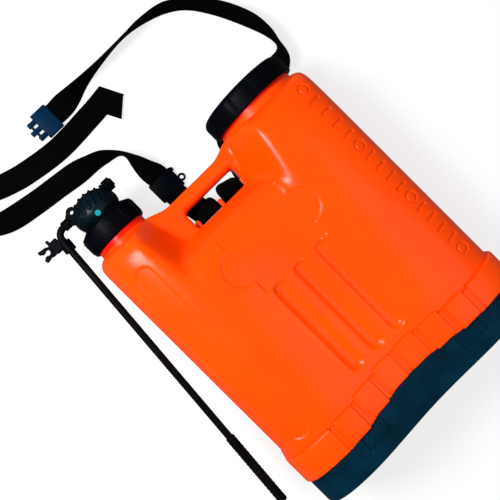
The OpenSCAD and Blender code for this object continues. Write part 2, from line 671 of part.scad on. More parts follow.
module pump_head() color("#0d1216") difference() {
    union() {
        upright(pump_x, head_low_y) cylinder(r = pump_neck_r - 0.2, h = head_flange_t);
        upright(pump_x, socket_low_y) cylinder(r = pump_bore_r - gap, h = head_low_y - socket_low_y + eps);
        upright(pump_x, head_low_y) cylinder(r = waist_r, h = dome_low_y - head_low_y + eps);
        difference() {
            union() {
                dome(0);
                dome_ribs();
            }
            box([pump_x - far, dome_low_y - far, -far], [pump_x + far, dome_low_y, far]);
            sideways(outlet_nut_x - 2 * gap, outlet_y) cylinder(r = outlet_r + 5, h = far);
        }
        sideways(pump_x + drive_reach, outlet_y) {
            cylinder(r = outlet_r, h = outlet_end_x - pump_x - drive_reach);
            cylinder(r = outlet_r + 2, h = outlet_nut_x - pump_x - drive_reach - 2 * gap);
        }
    }
    box([pump_x - far, pivot_y - hub_r - 0.5, -slot_half],
        [pump_x + drive_reach + 6.5, dome_y + far, slot_half]);
    box([barrel_x - 7.5, slot_low_y, -slot_half], [barrel_x + 7.5, pivot_y, slot_half]);
    upright(barrel_x, socket_low_y - eps) cylinder(r = barrel_r + fit, h = barrel_top_y - socket_low_y + eps);
    upright(barrel_x, barrel_top_y - eps)
        cylinder(r = piston_rod_r + fit, h = slot_low_y - barrel_top_y + 2 * eps);
    translate([pump_x, pivot_y, -far]) cylinder(r = pivot_r + fit, h = 2 * far);
    sideways(outlet_end_x - outlet_bore_l, outlet_y) cylinder(r = outlet_bore_r, h = outlet_bore_l + eps);
}

module ring_nut() color("#0c1013") upright(pump_x, nut_low_y) difference() {
    chamfer = 6.5;
    union() {
        rotate_extrude() polygon([[0, 0], [ring_nut_r - 2, 0], [ring_nut_r, 2],
            [ring_nut_r, ring_nut_h - chamfer], [ring_nut_r - 12, ring_nut_h], [0, ring_nut_h]]);
        for (turn = [18:36:342]) rotate([0, 0, turn])
            translate([ring_nut_r - 3.3, -6, 4]) cube([4.8, 12, ring_nut_h - chamfer - 7]);
    }
    translate([0, 0, -eps]) cylinder(r = pump_neck_r + gap, h = ring_nut_h - nut_lip_t + eps);
    translate([0, 0, eps]) cylinder(r = waist_r + 0.5, h = ring_nut_h);
}

module outlet_nut() color("#14191d") sideways(outlet_nut_x, outlet_y) difference() {
    cylinder(r = outlet_r + 4, h = outlet_nut_l, $fn = 6);
    translate([0, 0, -eps]) cylinder(r = outlet_r + gap, h = outlet_nut_l + 2 * eps);
}

module pump_barrel() color("#c8a550") upright(barrel_x, barrel_low_y) ring(barrel_r, barrel_bore_r, barrel_h);

// The valve at the foot of the barrel, with its ball loose above the seat
valve_flange_t = 6;
barb_r = suction_r - 2;
ball_r = 4;
seat_r = 3;
chamber_low = -2;
module foot_valve() color("#202427") upright(barrel_x, barrel_low_y) {
    difference() {
        union() {
            translate([0, 0, -valve_flange_t]) cylinder(r = barrel_r, h = valve_flange_t);
            cylinder(r = barrel_bore_r - fit, h = 8);
            translate([0, 0, -valve_flange_t - 16]) cylinder(r = barb_r, h = 17);
        }
        translate([0, 0, -valve_flange_t - 17]) cylinder(r = seat_r, h = 30);
        translate([0, 0, chamber_low]) cylinder(r = ball_r + 1.5, h = 20);
    }
    translate([-barrel_bore_r + 3, -0.8, 6.5]) cube([2 * barrel_bore_r - 6, 1.6, 1.5]);
}

ball_y = barrel_low_y + chamber_low + sqrt(ball_r * ball_r - seat_r * seat_r) + gap;
module valve_ball() color("silver") translate([barrel_x, ball_y, 0]) sphere(r = ball_r);

strainer_low_y = plug_y + tank_wall + gap;
strainer_h = 28;
strainer_r = 12;
collar_h = 12;
module suction_pipe() color("#dfe3e4") {
    low = strainer_low_y + strainer_h - collar_h;
    upright(barrel_x, low) ring(suction_r, barb_r + fit, barrel_low_y - valve_flange_t - low);
}

module suction_strainer() color("#202427") upright(barrel_x, strainer_low_y) difference() {
    cylinder(r = strainer_r, h = strainer_h);
    translate([0, 0, 2]) cylinder(r = strainer_r - 2, h = strainer_h - collar_h - 4);
    translate([0, 0, strainer_h - collar_h]) cylinder(r = suction_r + fit, h = collar_h + eps);
    translate([0, 0, 10]) cylinder(r = barb_r, h = strainer_h);
    for (turn = [0:45:315]) rotate([0, 0, turn]) translate([strainer_r - 4, -2, 3]) cube([6, 4, 9]);
}

module pivot_pin() color("#c9d2d4") translate([pump_x, pivot_y, 0.5 - dome_r])
    cylinder(r = pivot_r, h = 2 * dome_r - 1);

tongue_half = 2.8;
lug_out = 25;
lug_rise = 29.8;
lug_x = pump_x - lug_out;
lug_y = pivot_y + lug_rise;
web_half = hub_r - 0.5;
fork_w = 9;
lug_r = 7.5;
lug_bore_r = 3;
module rocker() color("#0d1216") difference() {
    union() {
        translate([0, 0, -rocker_half]) linear_extrude(2 * rocker_half) {
            translate([pump_x, pivot_y]) circle(r = hub_r);
            translate([lug_x, lug_y]) circle(r = lug_r);
            polygon([[pump_x, pivot_y - web_half], [boss_in_x - 2, arm_y - boss_r + 1],
                [boss_in_x - 2, arm_y + boss_r - 1], [lug_x - 4, lug_y + 6],
                [lug_x + 4, lug_y + 6], [pump_x, pivot_y + web_half]]);
            translate([pump_x, pivot_y]) rotate(drive_turn) {
                translate([0, -fork_w / 2]) square([drive_reach, fork_w]);
                translate([drive_reach, 0]) circle(r = drive_pin_r + 2.2);
            }
        }
        sideways(boss_in_x - boss_l, arm_y) cylinder(r = boss_r, h = boss_l);
    }
    translate([pump_x, pivot_y, -far]) cylinder(r = pivot_r + fit, h = 2 * far);
    translate([lug_x, lug_y, -far]) cylinder(r = lug_bore_r, h = 2 * far);
    translate([pump_x, pivot_y]) rotate(drive_turn) {
        translate([drive_reach, 0, -far]) cylinder(r = drive_pin_r + fit, h = 2 * far);
        box([hub_r - 0.3, -far, -tongue_half - 0.4], [far, far, tongue_half + 0.4]);
    }
    sideways(boss_in_x - boss_l - eps, arm_y) cylinder(r = lever_r + fit, h = boss_l - 0.5);
}

module drive_pin() color("#c9d2d4") translate([pump_x, pivot_y]) rotate(drive_turn)
    translate([drive_reach, 0, -rocker_half]) cylinder(r = drive_pin_r, h = 2 * rocker_half);

// The lever rod's straight part, from its elbow down
module along_lever(d) translate([elbow_x + elbow_r - elbow_r * cos(lever_splay),
    arm_y - elbow_r + elbow_r * sin(lever_splay), 0]) rotate([0, 0, -lever_splay]) rotate([90, 0, 0])
    translate([0, 0, d]) children();

module lever_rod() color("#101416") {
    bend_r = lever_r + 0.25;
    sideways(elbow_x + elbow_r - 2, arm_y) cylinder(r = lever_r, h = boss_in_x - elbow_x - elbow_r);
    translate([elbow_x + elbow_r, arm_y - elbow_r, 0]) rotate([0, 0, 90])
        rotate_extrude(angle = 90 - lever_splay) translate([elbow_r, 0]) circle(r = bend_r);
    along_lever(-2) cylinder(r = lever_r, h = lever_drop + 2);
}

module lever_grip() color("#0a0c0e") along_lever(lever_drop - grip_h) difference() {
    cylinder(r = grip_r, h = grip_h + 3);
    translate([0, 0, -eps]) cylinder(r = grip_bore_r, h = grip_h + eps);
}

module lance_clip() color("#0a0c0e") difference() {
    clip_t = 12;
    plate_t = clip_t - 1;
    prong_t = clip_t - 0.6;
    fin_t = clip_t - 2;
    union() {
        along_lever(3) cylinder(r = lever_r + 3.5, h = 16);
        translate([clip_x, clip_y, -clip_t / 2]) cylinder(r = lance_r + 3.8, h = clip_t);
        box([clip_x + 1, clip_y - 9, -plate_t / 2], [elbow_x, clip_y + 3, plate_t / 2]);
        box([clip_x + 7, clip_y, -fin_t / 2], [clip_x + 11, clip_y + 13, fin_t / 2]);
        for (side = [-1, 1]) translate([clip_x - lance_r, clip_y + side * (lance_r + 1.2), 0])
            rotate([0, 0, -side * 12]) box([-8.5, -1.6, -prong_t / 2], [4, 1.6, prong_t / 2]);
    }
    translate([clip_x, clip_y, -far]) cylinder(r = lance_r, h = 2 * far);
    box([clip_x - far, clip_y - 0.7 * lance_r, -far], [clip_x - 1, clip_y + 0.7 * lance_r, far]);
    along_lever(-elbow_r) cylinder(r = lever_r + 1.3, h = elbow_r + 2.5);
    along_lever(-elbow_r) cylinder(r = lever_r + fit, h = far);
}

piston_rest = 30;
piston_y = barrel_top_y - piston_rest;
piston_h = 10;
cup_h = 6;
stem_r = 3;
module piston_rod() color("#c9d2d4") difference() {
    union() {
        box([barrel_x - 6.5, drive_y - 7.2, -tongue_half], [barrel_x + 6.5, drive_y + 6, tongue_half]);
        upright(barrel_x, piston_y) cylinder(r = piston_rod_r, h = drive_y - 7 - piston_y);
        upright(barrel_x, piston_y - piston_h - cup_h - 2)
            cylinder(r = stem_r, h = piston_h + cup_h + 2 + eps);
    }
    play = drive_reach * (1 - cos(drive_turn)) / 2 + 0.2;
    for (x = [-play, play])
        translate([barrel_x + x, drive_y, -far]) cylinder(r = drive_pin_r + gap, h = 2 * far);
    box([barrel_x - play, drive_y - drive_pin_r - gap, -far],
        [barrel_x + play, drive_y + drive_pin_r + gap, far]);
}

module piston() color("#c8a550") upright(barrel_x, piston_y - piston_h)
    ring(barrel_bore_r - gap, stem_r + fit, piston_h);

module piston_cup() color("#303030") upright(barrel_x, piston_y - piston_h - cup_h)
    ring(barrel_bore_r - fit, stem_r + fit, cup_h);

module strap(route) {
    line = strap_line([for (p = route) [p[0] + (half_w - drawn_half_w) * smooth((p[0] - 20) / 60),
        p[1], p[2], p[3], p[4]]], 2);
    skin([for (i = [0:len(line) - 1]) strap_ring(line, i)]);
}
module strap_left() color("#0b0b0d") strap(strap_left_route);
module strap_right() color("#0b0b0d") strap(strap_right_route);

// A buckle's frame around the webbing, which runs through it along Y
frame_w = strap_w + strap_play + 5.5;
module buckle_frame(l) difference() {
    box([-frame_w / 2, -l / 2, gap], [frame_w / 2, l / 2, gap + buckle_t]);
    box([-strap_w / 2 - strap_play / 2, -l, buckle_rise - slot_h / 2],
        [strap_w / 2 + strap_play / 2, l, buckle_rise + slot_h / 2]);
}

module adjuster() color("#0a0d12") translate([adjuster_at[0], saddle_h + adjuster_at[1], back_z]) {
    buckle_frame(34);
    for (y = [-10, -3, 4]) box([-15, y - 1.2, buckle_t], [15, y + 1.2, buckle_t + 1.5]);
    translate([frame_w / 2 + 3.4, -6, gap]) ring(6, 3, 5);
}

module hook_buckle() color("#0a1a2c")
    translate([hook_at[0], saddle_h + hook_at[1], back_z]) rotate([0, 0, 90]) {
    buckle_frame(27);
    for (x = [-12, 0, 12]) box([x - 3.5, 13, gap], [x + 3.5, 30 - abs(x) / 3, gap + buckle_t - 2]);
    box([-16, 20, gap + 1], [16, 24, gap + buckle_t - 3]);
}

tank();
base();
base_screws();
anchor_pins();
strap_rod();
filler_strainer();
cap_seal();
filler_cap();
cap_vent();
pump_seal();
pump_head();
ring_nut();
outlet_nut();
pump_barrel();
foot_valve();
valve_ball();
suction_pipe();
suction_strainer();
pivot_pin();
rocker();
drive_pin();
lever_rod();
lever_grip();
lance_clip();
piston_rod();
piston();
piston_cup();
strap_left();
strap_right();
adjuster();
hook_buckle();
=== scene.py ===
import math

import bmesh
import bpy
from mathutils import Matrix, Vector


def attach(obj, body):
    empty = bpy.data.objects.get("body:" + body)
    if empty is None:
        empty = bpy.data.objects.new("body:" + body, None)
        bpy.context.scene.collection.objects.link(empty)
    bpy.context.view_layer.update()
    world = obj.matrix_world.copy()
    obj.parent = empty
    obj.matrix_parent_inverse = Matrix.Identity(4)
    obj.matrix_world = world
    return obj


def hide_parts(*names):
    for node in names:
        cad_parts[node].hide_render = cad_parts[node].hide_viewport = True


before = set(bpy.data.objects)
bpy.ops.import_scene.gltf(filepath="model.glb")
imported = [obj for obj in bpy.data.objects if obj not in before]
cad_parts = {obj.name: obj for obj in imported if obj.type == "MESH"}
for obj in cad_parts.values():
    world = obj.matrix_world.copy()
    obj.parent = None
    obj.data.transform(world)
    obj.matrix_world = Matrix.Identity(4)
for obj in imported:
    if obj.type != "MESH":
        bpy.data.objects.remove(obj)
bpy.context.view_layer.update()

# Camera
# The sprayer lies on its back and is seen from straight above its front, a little to the lever's side,
# with the picture turned by about 45 degrees.
lens_mm = 58.26
camera = bpy.data.objects.new("camera", bpy.data.cameras.new("camera"))
camera.data.lens = lens_mm
camera.data.sensor_width = 36
camera.location = (-0.1239, 0.318, 1.1)
camera.rotation_euler = [math.radians(turn) for turn in (3.072, -3.893, -45.245)]
bpy.context.collection.objects.link(camera)
bpy.context.scene.camera = camera
bpy.context.scene.view_settings.view_transform = "Standard"


# Studio floor and light
# A white paper sweep under two softboxes, in a white surround. Both look dim in glossy surfaces, as in a
# studio with black flags. The paper takes the sprayer's soft shadow.
def linear(code):
    parts = [int(code[i:i + 2], 16) / 255 for i in (1, 3, 5)]
    return [c / 12.92 if c <= 0.04045 else ((c + 0.055) / 1.055) ** 2.4 for c in parts] + [1]


def add_node(tree, kind, inputs=None, **settings):
    node = tree.nodes.new(kind)
    for name, value in settings.items():
        setattr(node, name, value)
    for name, value in (inputs or {}).items():
        if isinstance(value, bpy.types.NodeSocket):
            tree.links.new(value, node.inputs[name])
        else:
            node.inputs[name].default_value = value
    return node


def new_material(name):
    material = bpy.data.materials.new(name)
    material.use_nodes = True
    material.node_tree.nodes.clear()
    return material, material.node_tree


def mottle(tree, size_mm, detail):
    place = add_node(tree, "ShaderNodeTexCoord")
    spots = add_node(tree, "ShaderNodeTexNoise", {
        "Vector": place.outputs["Object"], "Scale": 1000 / size_mm, "Detail": detail})
    return spots.outputs[0]


def two_tones(tree, level, dark, light, low=0, high=1):
    ramp = add_node(tree, "ShaderNodeValToRGB", {0: level})
    for stop, spot, code in zip(ramp.color_ramp.elements, (low, high), (dark, light)):
        stop.position, stop.color = spot, linear(code)
    return ramp.outputs[0]


floor_z = -0.0822
floor_half = 3.0
paper, tree = new_material("white paper sweep")
tone = two_tones(tree, mottle(tree, 4, 4), "#F2F2F1", "#FAFAFA")
matt = add_node(tree, "ShaderNodeBsdfPrincipled", {
    "Base Color": tone, "Roughness": 0.9, "Specular IOR Level": 0.1})
glow = add_node(tree, "ShaderNodeEmission", {"Color": linear("#FFFFFF"), "Strength": 1})
seen = add_node(tree, "ShaderNodeLightPath")
share = add_node(tree, "ShaderNodeMath", {0: seen.outputs["Is Camera Ray"], 1: 0.75}, operation="MULTIPLY")
mixed = add_node(tree, "ShaderNodeMixShader", {0: share.outputs[0], 1: matt.outputs[0], 2: glow.outputs[0]})
grey = add_node(tree, "ShaderNodeEmission", {"Color": linear("#FFFFFF"), "Strength": 0.15})
mirrored = add_node(tree, "ShaderNodeMixShader", {
    0: seen.outputs["Is Glossy Ray"], 1: mixed.outputs[0], 2: grey.outputs[0]})
add_node(tree, "ShaderNodeOutputMaterial", {"Surface": mirrored.outputs[0]})
bm = bmesh.new()
bmesh.ops.create_grid(bm, x_segments=8, y_segments=8, size=floor_half,
                      matrix=Matrix.Translation((0, 0.3, floor_z)))
floor_mesh = bpy.data.meshes.new("floor")
bm.to_mesh(floor_mesh)
bm.free()
floor_mesh.materials.append(paper)
floor = bpy.data.objects.new("floor", floor_mesh)
bpy.context.collection.objects.link(floor)

world = bpy.data.worlds.new("white surround")
bpy.context.scene.world = world
world.use_nodes = True
tree = world.node_tree
tree.nodes.clear()
dim = add_node(tree, "ShaderNodeBackground", {"Color": linear("#FFFFFF"), "Strength": 0.28})
dark = add_node(tree, "ShaderNodeBackground", {"Color": linear("#FFFFFF"), "Strength": 0.08})
white = add_node(tree, "ShaderNodeBackground", {"Color": linear("#FFFFFF"), "Strength": 1})
seen = add_node(tree, "ShaderNodeLightPath")
mirrored = add_node(tree, "ShaderNodeMixShader", {
    0: seen.outputs["Is Glossy Ray"], 1: dim.outputs[0], 2: dark.outputs[0]})
mixed = add_node(tree, "ShaderNodeMixShader", {
    0: seen.outputs["Is Camera Ray"], 1: mirrored.outputs[0], 2: white.outputs[0]})
add_node(tree, "ShaderNodeOutputWorld", {"Surface": mixed.outputs[0]})

target = Vector((0, 0.25, 0))
for name, place, size, watts in (("key softbox", (-0.75, 0.9, 1.3), 0.5, 34),
                                 ("fill softbox", (0.7, -0.3, 1.5), 1.2, 7)):
    light = bpy.data.lights.new(name, "AREA")
    light.size = size
    light.energy = watts
    lamp = bpy.data.objects.new(name, light)
    lamp.location = place
    lamp.rotation_euler = (target - Vector(place)).to_track_quat("-Z", "Y").to_euler()
    bpy.context.collection.objects.link(lamp)


# Tank
# A blow-moulded polyethylene tank with two towers, a carrying handle between them, two necks and a skirt of
# raised blocks. The label panel, flutes, level strip and level marks are sunk into its front by the mould.
half_w = 190
crest_z = 87
back_z = -82
saddle_h = 374
tower_h = 436
loft_low_y = 44.5
end_turn = math.radians(86)
waist_deep, waist_half = 14, 135
spine_deep, spine_half = 8, 70
arch_h, arch_half = 10.8, 130
pump_side_x, filler_side_x = -104, 54
ramp_w = 22
lean_z = 22
saddle_lean, tower_lean = 0.45, 0.18
shoulder_r = 18


def bump(x, span):
    return math.cos(math.pi / 2 * x / span) ** 2 if abs(x) < span else 0


def smooth(t):
    u = min(1, max(0, t))
    return u * u * (3 - 2 * u)


def end_round(x):
    return max(0.001, 1 - (abs(x) / half_w) ** 4) ** 0.25


def front_z(x):
    return crest_z * end_round(x) - waist_deep * bump(x, waist_half)


def rail_z(x):
    return spine_deep * bump(x, spine_half) - min(crest_z * end_round(x), -back_z)


def arch(x):
    return arch_h * bump(x, arch_half)


def top_y(x, z):
    out = max(0, z - lean_z)
    pump_t = smooth((pump_side_x - 0.5 * out + ramp_w - x) / ramp_w)
    filler_t = smooth((x - filler_side_x - 0.5 * out + ramp_w) / ramp_w)
    t = max(pump_t, filler_t)
    edge = max(0, abs(x) - half_w + shoulder_r)
    crown = math.sqrt(max(0, shoulder_r ** 2 - edge * edge))
    lean = saddle_lean * (1 - t) + tower_lean * t
    return saddle_h - lean * out + (tower_h - saddle_h) * t - shoulder_r + crown


def body_point(p):
    reach = max(abs(p.y), abs(p.z)) or 1
    pull = (abs(p.y / reach) ** 10 + abs(p.z / reach) ** 10) ** -0.1
    x = half_w * math.sin(end_turn * p.x)
    front, back = front_z(x), rail_z(x)
    z = (front + back + (front - back) * p.z * pull) / 2
    low, top = loft_low_y, top_y(x, z)
    return Vector((x, (low + top + (top - low) * p.y * pull) / 2, z))


def reshape(bm, kind, **settings):
    mesh = bpy.data.meshes.new("work")
    bm.to_mesh(mesh)
    bm.free()
    work = bpy.data.objects.new("work", mesh)
    bpy.context.collection.objects.link(work)
    step = work.modifiers.new(kind, kind)
    for name, value in settings.items():
        setattr(step, name, value)
    done = bmesh.new()
    done.from_object(work, bpy.context.evaluated_depsgraph_get())
    bpy.data.objects.remove(work)
    bpy.data.meshes.remove(mesh)
    return done


def cut_away(bm, cutter):
    mesh = bpy.data.meshes.new("cutter")
    cutter.to_mesh(mesh)
    cutter.free()
    tool = bpy.data.objects.new("cutter", mesh)
    bpy.context.collection.objects.link(tool)
    done = reshape(bm, "BOOLEAN", operation="DIFFERENCE", solver="EXACT", object=tool)
    bpy.data.objects.remove(tool)
    bpy.data.meshes.remove(mesh)
    return done


def take_in(bm, part):
    mesh = bpy.data.meshes.new("part")
    part.to_mesh(mesh)
    part.free()
    bm.from_mesh(mesh)
    bpy.data.meshes.remove(mesh)


def round_edges(part, edges, offset, segments=3):
    bmesh.ops.bevel(part, geom=edges, offset=offset, affect="EDGES", segments=segments, profile=0.5,
                    material=-1)


def sharp_edges(part, angle):
    return [e for e in part.edges if e.calc_face_angle(0) > angle]


def relax(part, rounds):
    for i in range(rounds):
        bmesh.ops.smooth_vert(part, verts=part.verts, factor=0.5, use_axis_x=True, use_axis_y=True,
                              use_axis_z=True)


def thicken(part, way):
    moved = bmesh.ops.extrude_face_region(part, geom=part.faces[:])["geom"]
    lifted = [g for g in moved if isinstance(g, bmesh.types.BMVert)]
    bmesh.ops.translate(part, vec=way, verts=lifted)
    bmesh.ops.recalc_face_normals(part, faces=part.faces)
    return lifted


def block(low, high, soft):
    part = bmesh.new()
    bmesh.ops.create_cube(part, size=1)
    size = [h - l for l, h in zip(low, high)]
    bmesh.ops.scale(part, vec=size, verts=part.verts)
    bmesh.ops.translate(part, vec=[(l + h) / 2 for l, h in zip(low, high)], verts=part.verts)
    if soft:
        round_edges(part, part.edges[:], soft)
    return part


def drum(start, end, radius, sides=64):
    part = bmesh.new()
    start, end = Vector(start), Vector(end)
    spot = Matrix.Translation((start + end) / 2) @ (end - start).to_track_quat("Z", "Y").to_matrix().to_4x4()
    bmesh.ops.create_cone(part, cap_ends=True, segments=sides, radius1=radius, radius2=radius,
                          depth=(end - start).length, matrix=spot)
    return part


def slice_off(part, place, outward):
    everything = part.verts[:] + part.edges[:] + part.faces[:]
    bmesh.ops.bisect_plane(part, geom=everything, dist=1e-5, plane_co=place, plane_no=outward,
                           clear_outer=True)
    bmesh.ops.holes_fill(part, edges=[e for e in part.edges if e.is_boundary])


def front_block(x0, x1, y0, y1, low, high, soft):
    part = bmesh.new()
    bmesh.ops.create_cube(part, size=2)
    long_edges = [e for e in part.edges if abs(e.verts[0].co.x - e.verts[1].co.x) > 1]
    bmesh.ops.subdivide_edges(part, edges=long_edges, cuts=7)
    for v in part.verts:
        x = x0 + (x1 - x0) * (v.co.x + 1) / 2
        v.co = (x, y0 if v.co.y < 0 else y1, front_z(x) + (low if v.co.z < 0 else high))
    if soft:
        round_edges(part, sharp_edges(part, 0.8), soft)
    return part


def plan_plate(grow, low_y, high_y, rise_low=False, rise_high=False, half_points=84):
    part = bmesh.new()
    rim = bmesh.ops.create_circle(part, cap_ends=True, segments=2 * half_points, radius=1)["verts"]
    for k, v in enumerate(rim):
        share = 1 - 2 * (k % half_points) / (half_points - 1)
        turn = end_turn * (share if k < half_points else -share)
        x = half_w * math.sin(turn)
        z = front_z(x) + grow if k < half_points else max(rail_z(x) - grow, back_z)
        v.co = (x * (half_w + grow) / half_w, low_y, z)
    lifted = thicken(part, (0, high_y - low_y, 0))
    for v in part.verts:
        if v.co.z > 30 and (rise_high if v in lifted else rise_low):
            v.co.y += arch(v.co.x)
    bmesh.ops.recalc_face_normals(part, faces=part.faces)
    return part


def soften_rims(part, low_soft, high_soft):
    for face_up, soft in ((-1, low_soft), (1, high_soft)):
        rim = [e for f in part.faces if len(f.verts) > 60 and f.normal.y * face_up > 0.5 for e in f.edges]
        round_edges(part, rim, soft, segments=4)


# The shapes sunk into the front. Each edge function gives the way from its shape's edge, negative inside.
label_at, label_half = (-5, 299.5), (54, 47)
ear_r = 26
strip_at, strip_half = (-154, 241), (13.5, 148.5)
marks_x = 163
ring_r, ring_half_w = 7.25, 1.25
tick_half = (9, 1.9)
level_rings = (114, 208, 302, 405.5)
level_ticks = [a + (b - a) * j / 5 for a, b in zip(level_rings, level_rings[1:]) for j in (1, 2, 3, 4)]
flute_xs = (-42.2, -5, 32.2)
flute_low_y, flute_high_y = 111, 244
flute_half, flute_r, flute_lift = 12.5, 15, 9.8
lip_deep, lip_w = 0.35, 3.2
panel_deep, panel_ramp = 1.5, 1.8
mark_deep, mark_ramp = 1.7, 1.3


def box_edge(x, y, half_x, half_y, r=0):
    out_x, out_y = abs(x) - half_x + r, abs(y) - half_y + r
    return math.hypot(max(out_x, 0), max(out_y, 0)) + min(max(out_x, out_y), 0) - r


def panel_edge(x, y):
    lx, ly = x - label_at[0], y - label_at[1]
    ears = math.hypot(abs(lx) - label_half[0], ly) - ear_r
    strip = box_edge(x - strip_at[0], y - strip_at[1], *strip_half, strip_half[0])
    return min(box_edge(lx, ly, *label_half, 2), ears, strip)


def mark_edge(x, y):
    out = x - marks_x
    if abs(out) > 14:
        return 9
    rings = min(abs(math.hypot(out, y - ring) - ring_r) - ring_half_w for ring in level_rings)
    ticks = min(box_edge(out, y - tick, *tick_half, 1) for tick in level_ticks)
    return min(rings, ticks)


def flute_depth(x, y):
    deep = 0
    for middle in flute_xs:
        off = math.hypot(x - middle, max(flute_low_y - y, y - flute_high_y, 0))
        if off < flute_half:
            lip = lip_deep * smooth((flute_half - off) / lip_w)
            deep = max(deep, math.sqrt(flute_r ** 2 - off * off) - flute_lift, lip)
    return deep


tank_bm = bmesh.new()
bmesh.ops.create_cube(tank_bm, size=2)
bmesh.ops.subdivide_edges(tank_bm, edges=tank_bm.edges[:], cuts=95, use_grid_fill=True)
for v in tank_bm.verts:
    v.co = body_point(v.co)

# The handle is a flattened bar on two webs
handle_mid_y = 414.5
bar_low_x, bar_high_x = -110, 60
bar_r, bar_flat = 11.5, 10.5
web_low_y, web_half = 362, 20
bar = bmesh.new()
bmesh.ops.create_circle(bar, cap_ends=True, segments=48, radius=bar_r)
for v in bar.verts:
    v.co = (bar_low_x, handle_mid_y + v.co.y, v.co.x + math.copysign(bar_flat, v.co.x))
thicken(bar, (bar_high_x - bar_low_x, 0, 0))
long_edges = [e for e in bar.edges if abs(e.verts[0].co.x - e.verts[1].co.x) > 100]
bmesh.ops.subdivide_edges(bar, edges=long_edges, cuts=33)
for v in bar.verts:
    if v.co.y > handle_mid_y:
        v.co.y += 10 * max(smooth((-68 - v.co.x) / 36), smooth((v.co.x - 18) / 36))
take_in(tank_bm, bar)
for low_x, high_x in ((bar_low_x, -58), (32, bar_high_x)):
    take_in(tank_bm, block((low_x, web_low_y, -web_half), (high_x, handle_mid_y, web_half), 6))
tank_bm = reshape(tank_bm, "REMESH", mode="VOXEL", voxel_size=2.6)
relax(tank_bm, 6)

# The sunk shapes get a finer net along their edges first
tank_bm.normal_update()
front_facing = 0.3
for reach, edge in ((3.4, lambda x, y: min(abs(panel_edge(x, y)), mark_edge(x, y))),
                    (1.8, mark_edge)):
    near = set()
    for face in tank_bm.faces:
        if face.normal.z > front_facing:
            middle = face.calc_center_median()
            if middle.y > 84 and edge(middle.x, middle.y) < reach:
                near.update(face.edges)
    bmesh.ops.subdivide_edges(tank_bm, edges=list(near), cuts=1, use_grid_fill=True)
tank_bm.normal_update()
for v in tank_bm.verts:
    if v.normal.z > front_facing and v.co.z > 20:
        x, y = v.co.x, v.co.y
        panel = panel_deep * smooth(0.5 - panel_edge(x, y) / panel_ramp)
        mark = mark_deep * smooth(0.5 - mark_edge(x, y) / mark_ramp)
        v.co -= v.normal * max(panel, mark, flute_depth(x, y))

# The skirt band, its six blocks, the ribs in their gaps and the two corner blocks
skirt_out = 3
block_out = 5
skirt_low_y, band_high_y, rib_high_y, block_high_y = 40.5, 76.5, 77.5, 79.5
block_pitch, block_half, rib_half = 40.5, 15.5, 1.4
band = plan_plate(skirt_out, skirt_low_y, band_high_y, rise_low=True, rise_high=True)
soften_rims(band, 1.2, 1.6)
take_in(tank_bm, band)
for i in range(7):
    x = (i - 3) * block_pitch
    take_in(tank_bm, front_block(x - rib_half, x + rib_half, skirt_low_y + arch(x), rib_high_y + arch(x), -2,
                                 block_out - 0.6, 0.9))
    if i < 6:
        x += block_pitch / 2
        take_in(tank_bm, front_block(x - block_half, x + block_half, skirt_low_y + arch(x),
                                     block_high_y + arch(x), -2, block_out, 1.8))
for side in (-1, 1):
    corner = plan_plate(block_out, skirt_low_y, block_high_y)
    slice_off(corner, (side * 126.25, 0, 0), (-side, 0, 0))
    round_edges(corner, sharp_edges(corner, 0.8), 2)
    take_in(tank_bm, corner)

# The two necks, and the lugs for the rod that holds the straps
for x, rim_y, radius in ((115.5, 461.5, 63.5), (-138.5, 464.5, 38.5)):
    take_in(tank_bm, drum((x, 415, 0), (x, rim_y, 0), radius, sides=128))
for i in (-1, 0, 1):
    x = -11 + 42.5 * i
    take_in(tank_bm, block((x - 3, 366, -6), (x + 3, 385.5, 6), 1.6))


def cover(tree, inputs):
    shell = add_node(tree, "ShaderNodeBsdfPrincipled", inputs)
    add_node(tree, "ShaderNodeOutputMaterial", {"Surface": shell.outputs[0]})


def orange_plastic():
    """Blow-moulded HDPE: even and a little waxy, with a faint orange-peel skin, and a painted shade, deeper
    red, on the necks under the caps.
    """
    material, tree = new_material("blow-moulded orange HDPE")
    peel = mottle(tree, 2.5, 2)
    tone = two_tones(tree, mottle(tree, 90, 3), "#F24200", "#FA4900", 0.3, 0.7)
    place = add_node(tree, "ShaderNodeTexCoord")
    height = add_node(tree, "ShaderNodeSeparateXYZ", {"Vector": place.outputs["Object"]})
    # Painted shade: above the tower tops the necks are tinted deeper red, where the caps would shade them
    neck_shade_mask = add_node(tree, "ShaderNodeMapRange", {
        "Value": height.outputs["Y"], "From Min": (tower_h - 0.5) / 1000, "From Max": (tower_h + 2.5) / 1000})
    tone_and_neck_shade = add_node(tree, "ShaderNodeMix", {
        0: neck_shade_mask.outputs[0], 6: tone, 7: linear("#DC1600")}, data_type="RGBA")
    gloss = add_node(tree, "ShaderNodeMapRange", {"Value": peel, "To Min": 0.2, "To Max": 0.3})
    skin = add_node(tree, "ShaderNodeBump", {"Height": peel, "Strength": 0.06, "Distance": 0.0004})
    cover(tree, {"Base Color": tone_and_neck_shade.outputs[2], "Roughness": gloss.outputs[0], "Normal": skin.outputs[0],
                 "IOR": 1.54, "Specular IOR Level": 0.12})
    return material


def finish_piece(name, bm, material, slot, body, *nodes, crease=35):
    bmesh.ops.scale(bm, vec=(0.001, 0.001, 0.001), verts=bm.verts)
    mesh = bpy.data.meshes.new(name)
    bm.to_mesh(mesh)
    bm.free()
    mesh.shade_smooth()
    mesh.set_sharp_from_angle(angle=math.radians(crease))
    mesh.materials.append(material)
    piece = bpy.data.objects.new(name, mesh)
    bpy.context.collection.objects.link(piece)
    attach(piece, body)
    if nodes:
        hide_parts(*nodes)
    return piece


finish_piece("tank_shell", tank_bm, orange_plastic(), "orange_plastic", "sprayer", "tank", crease=60)

# Base
# A black injection-moulded polypropylene foot, screwed on under the tank. It has two shallow pockets at the
# front, and at its back two notches with pins for the strap hooks.
base_out = 2


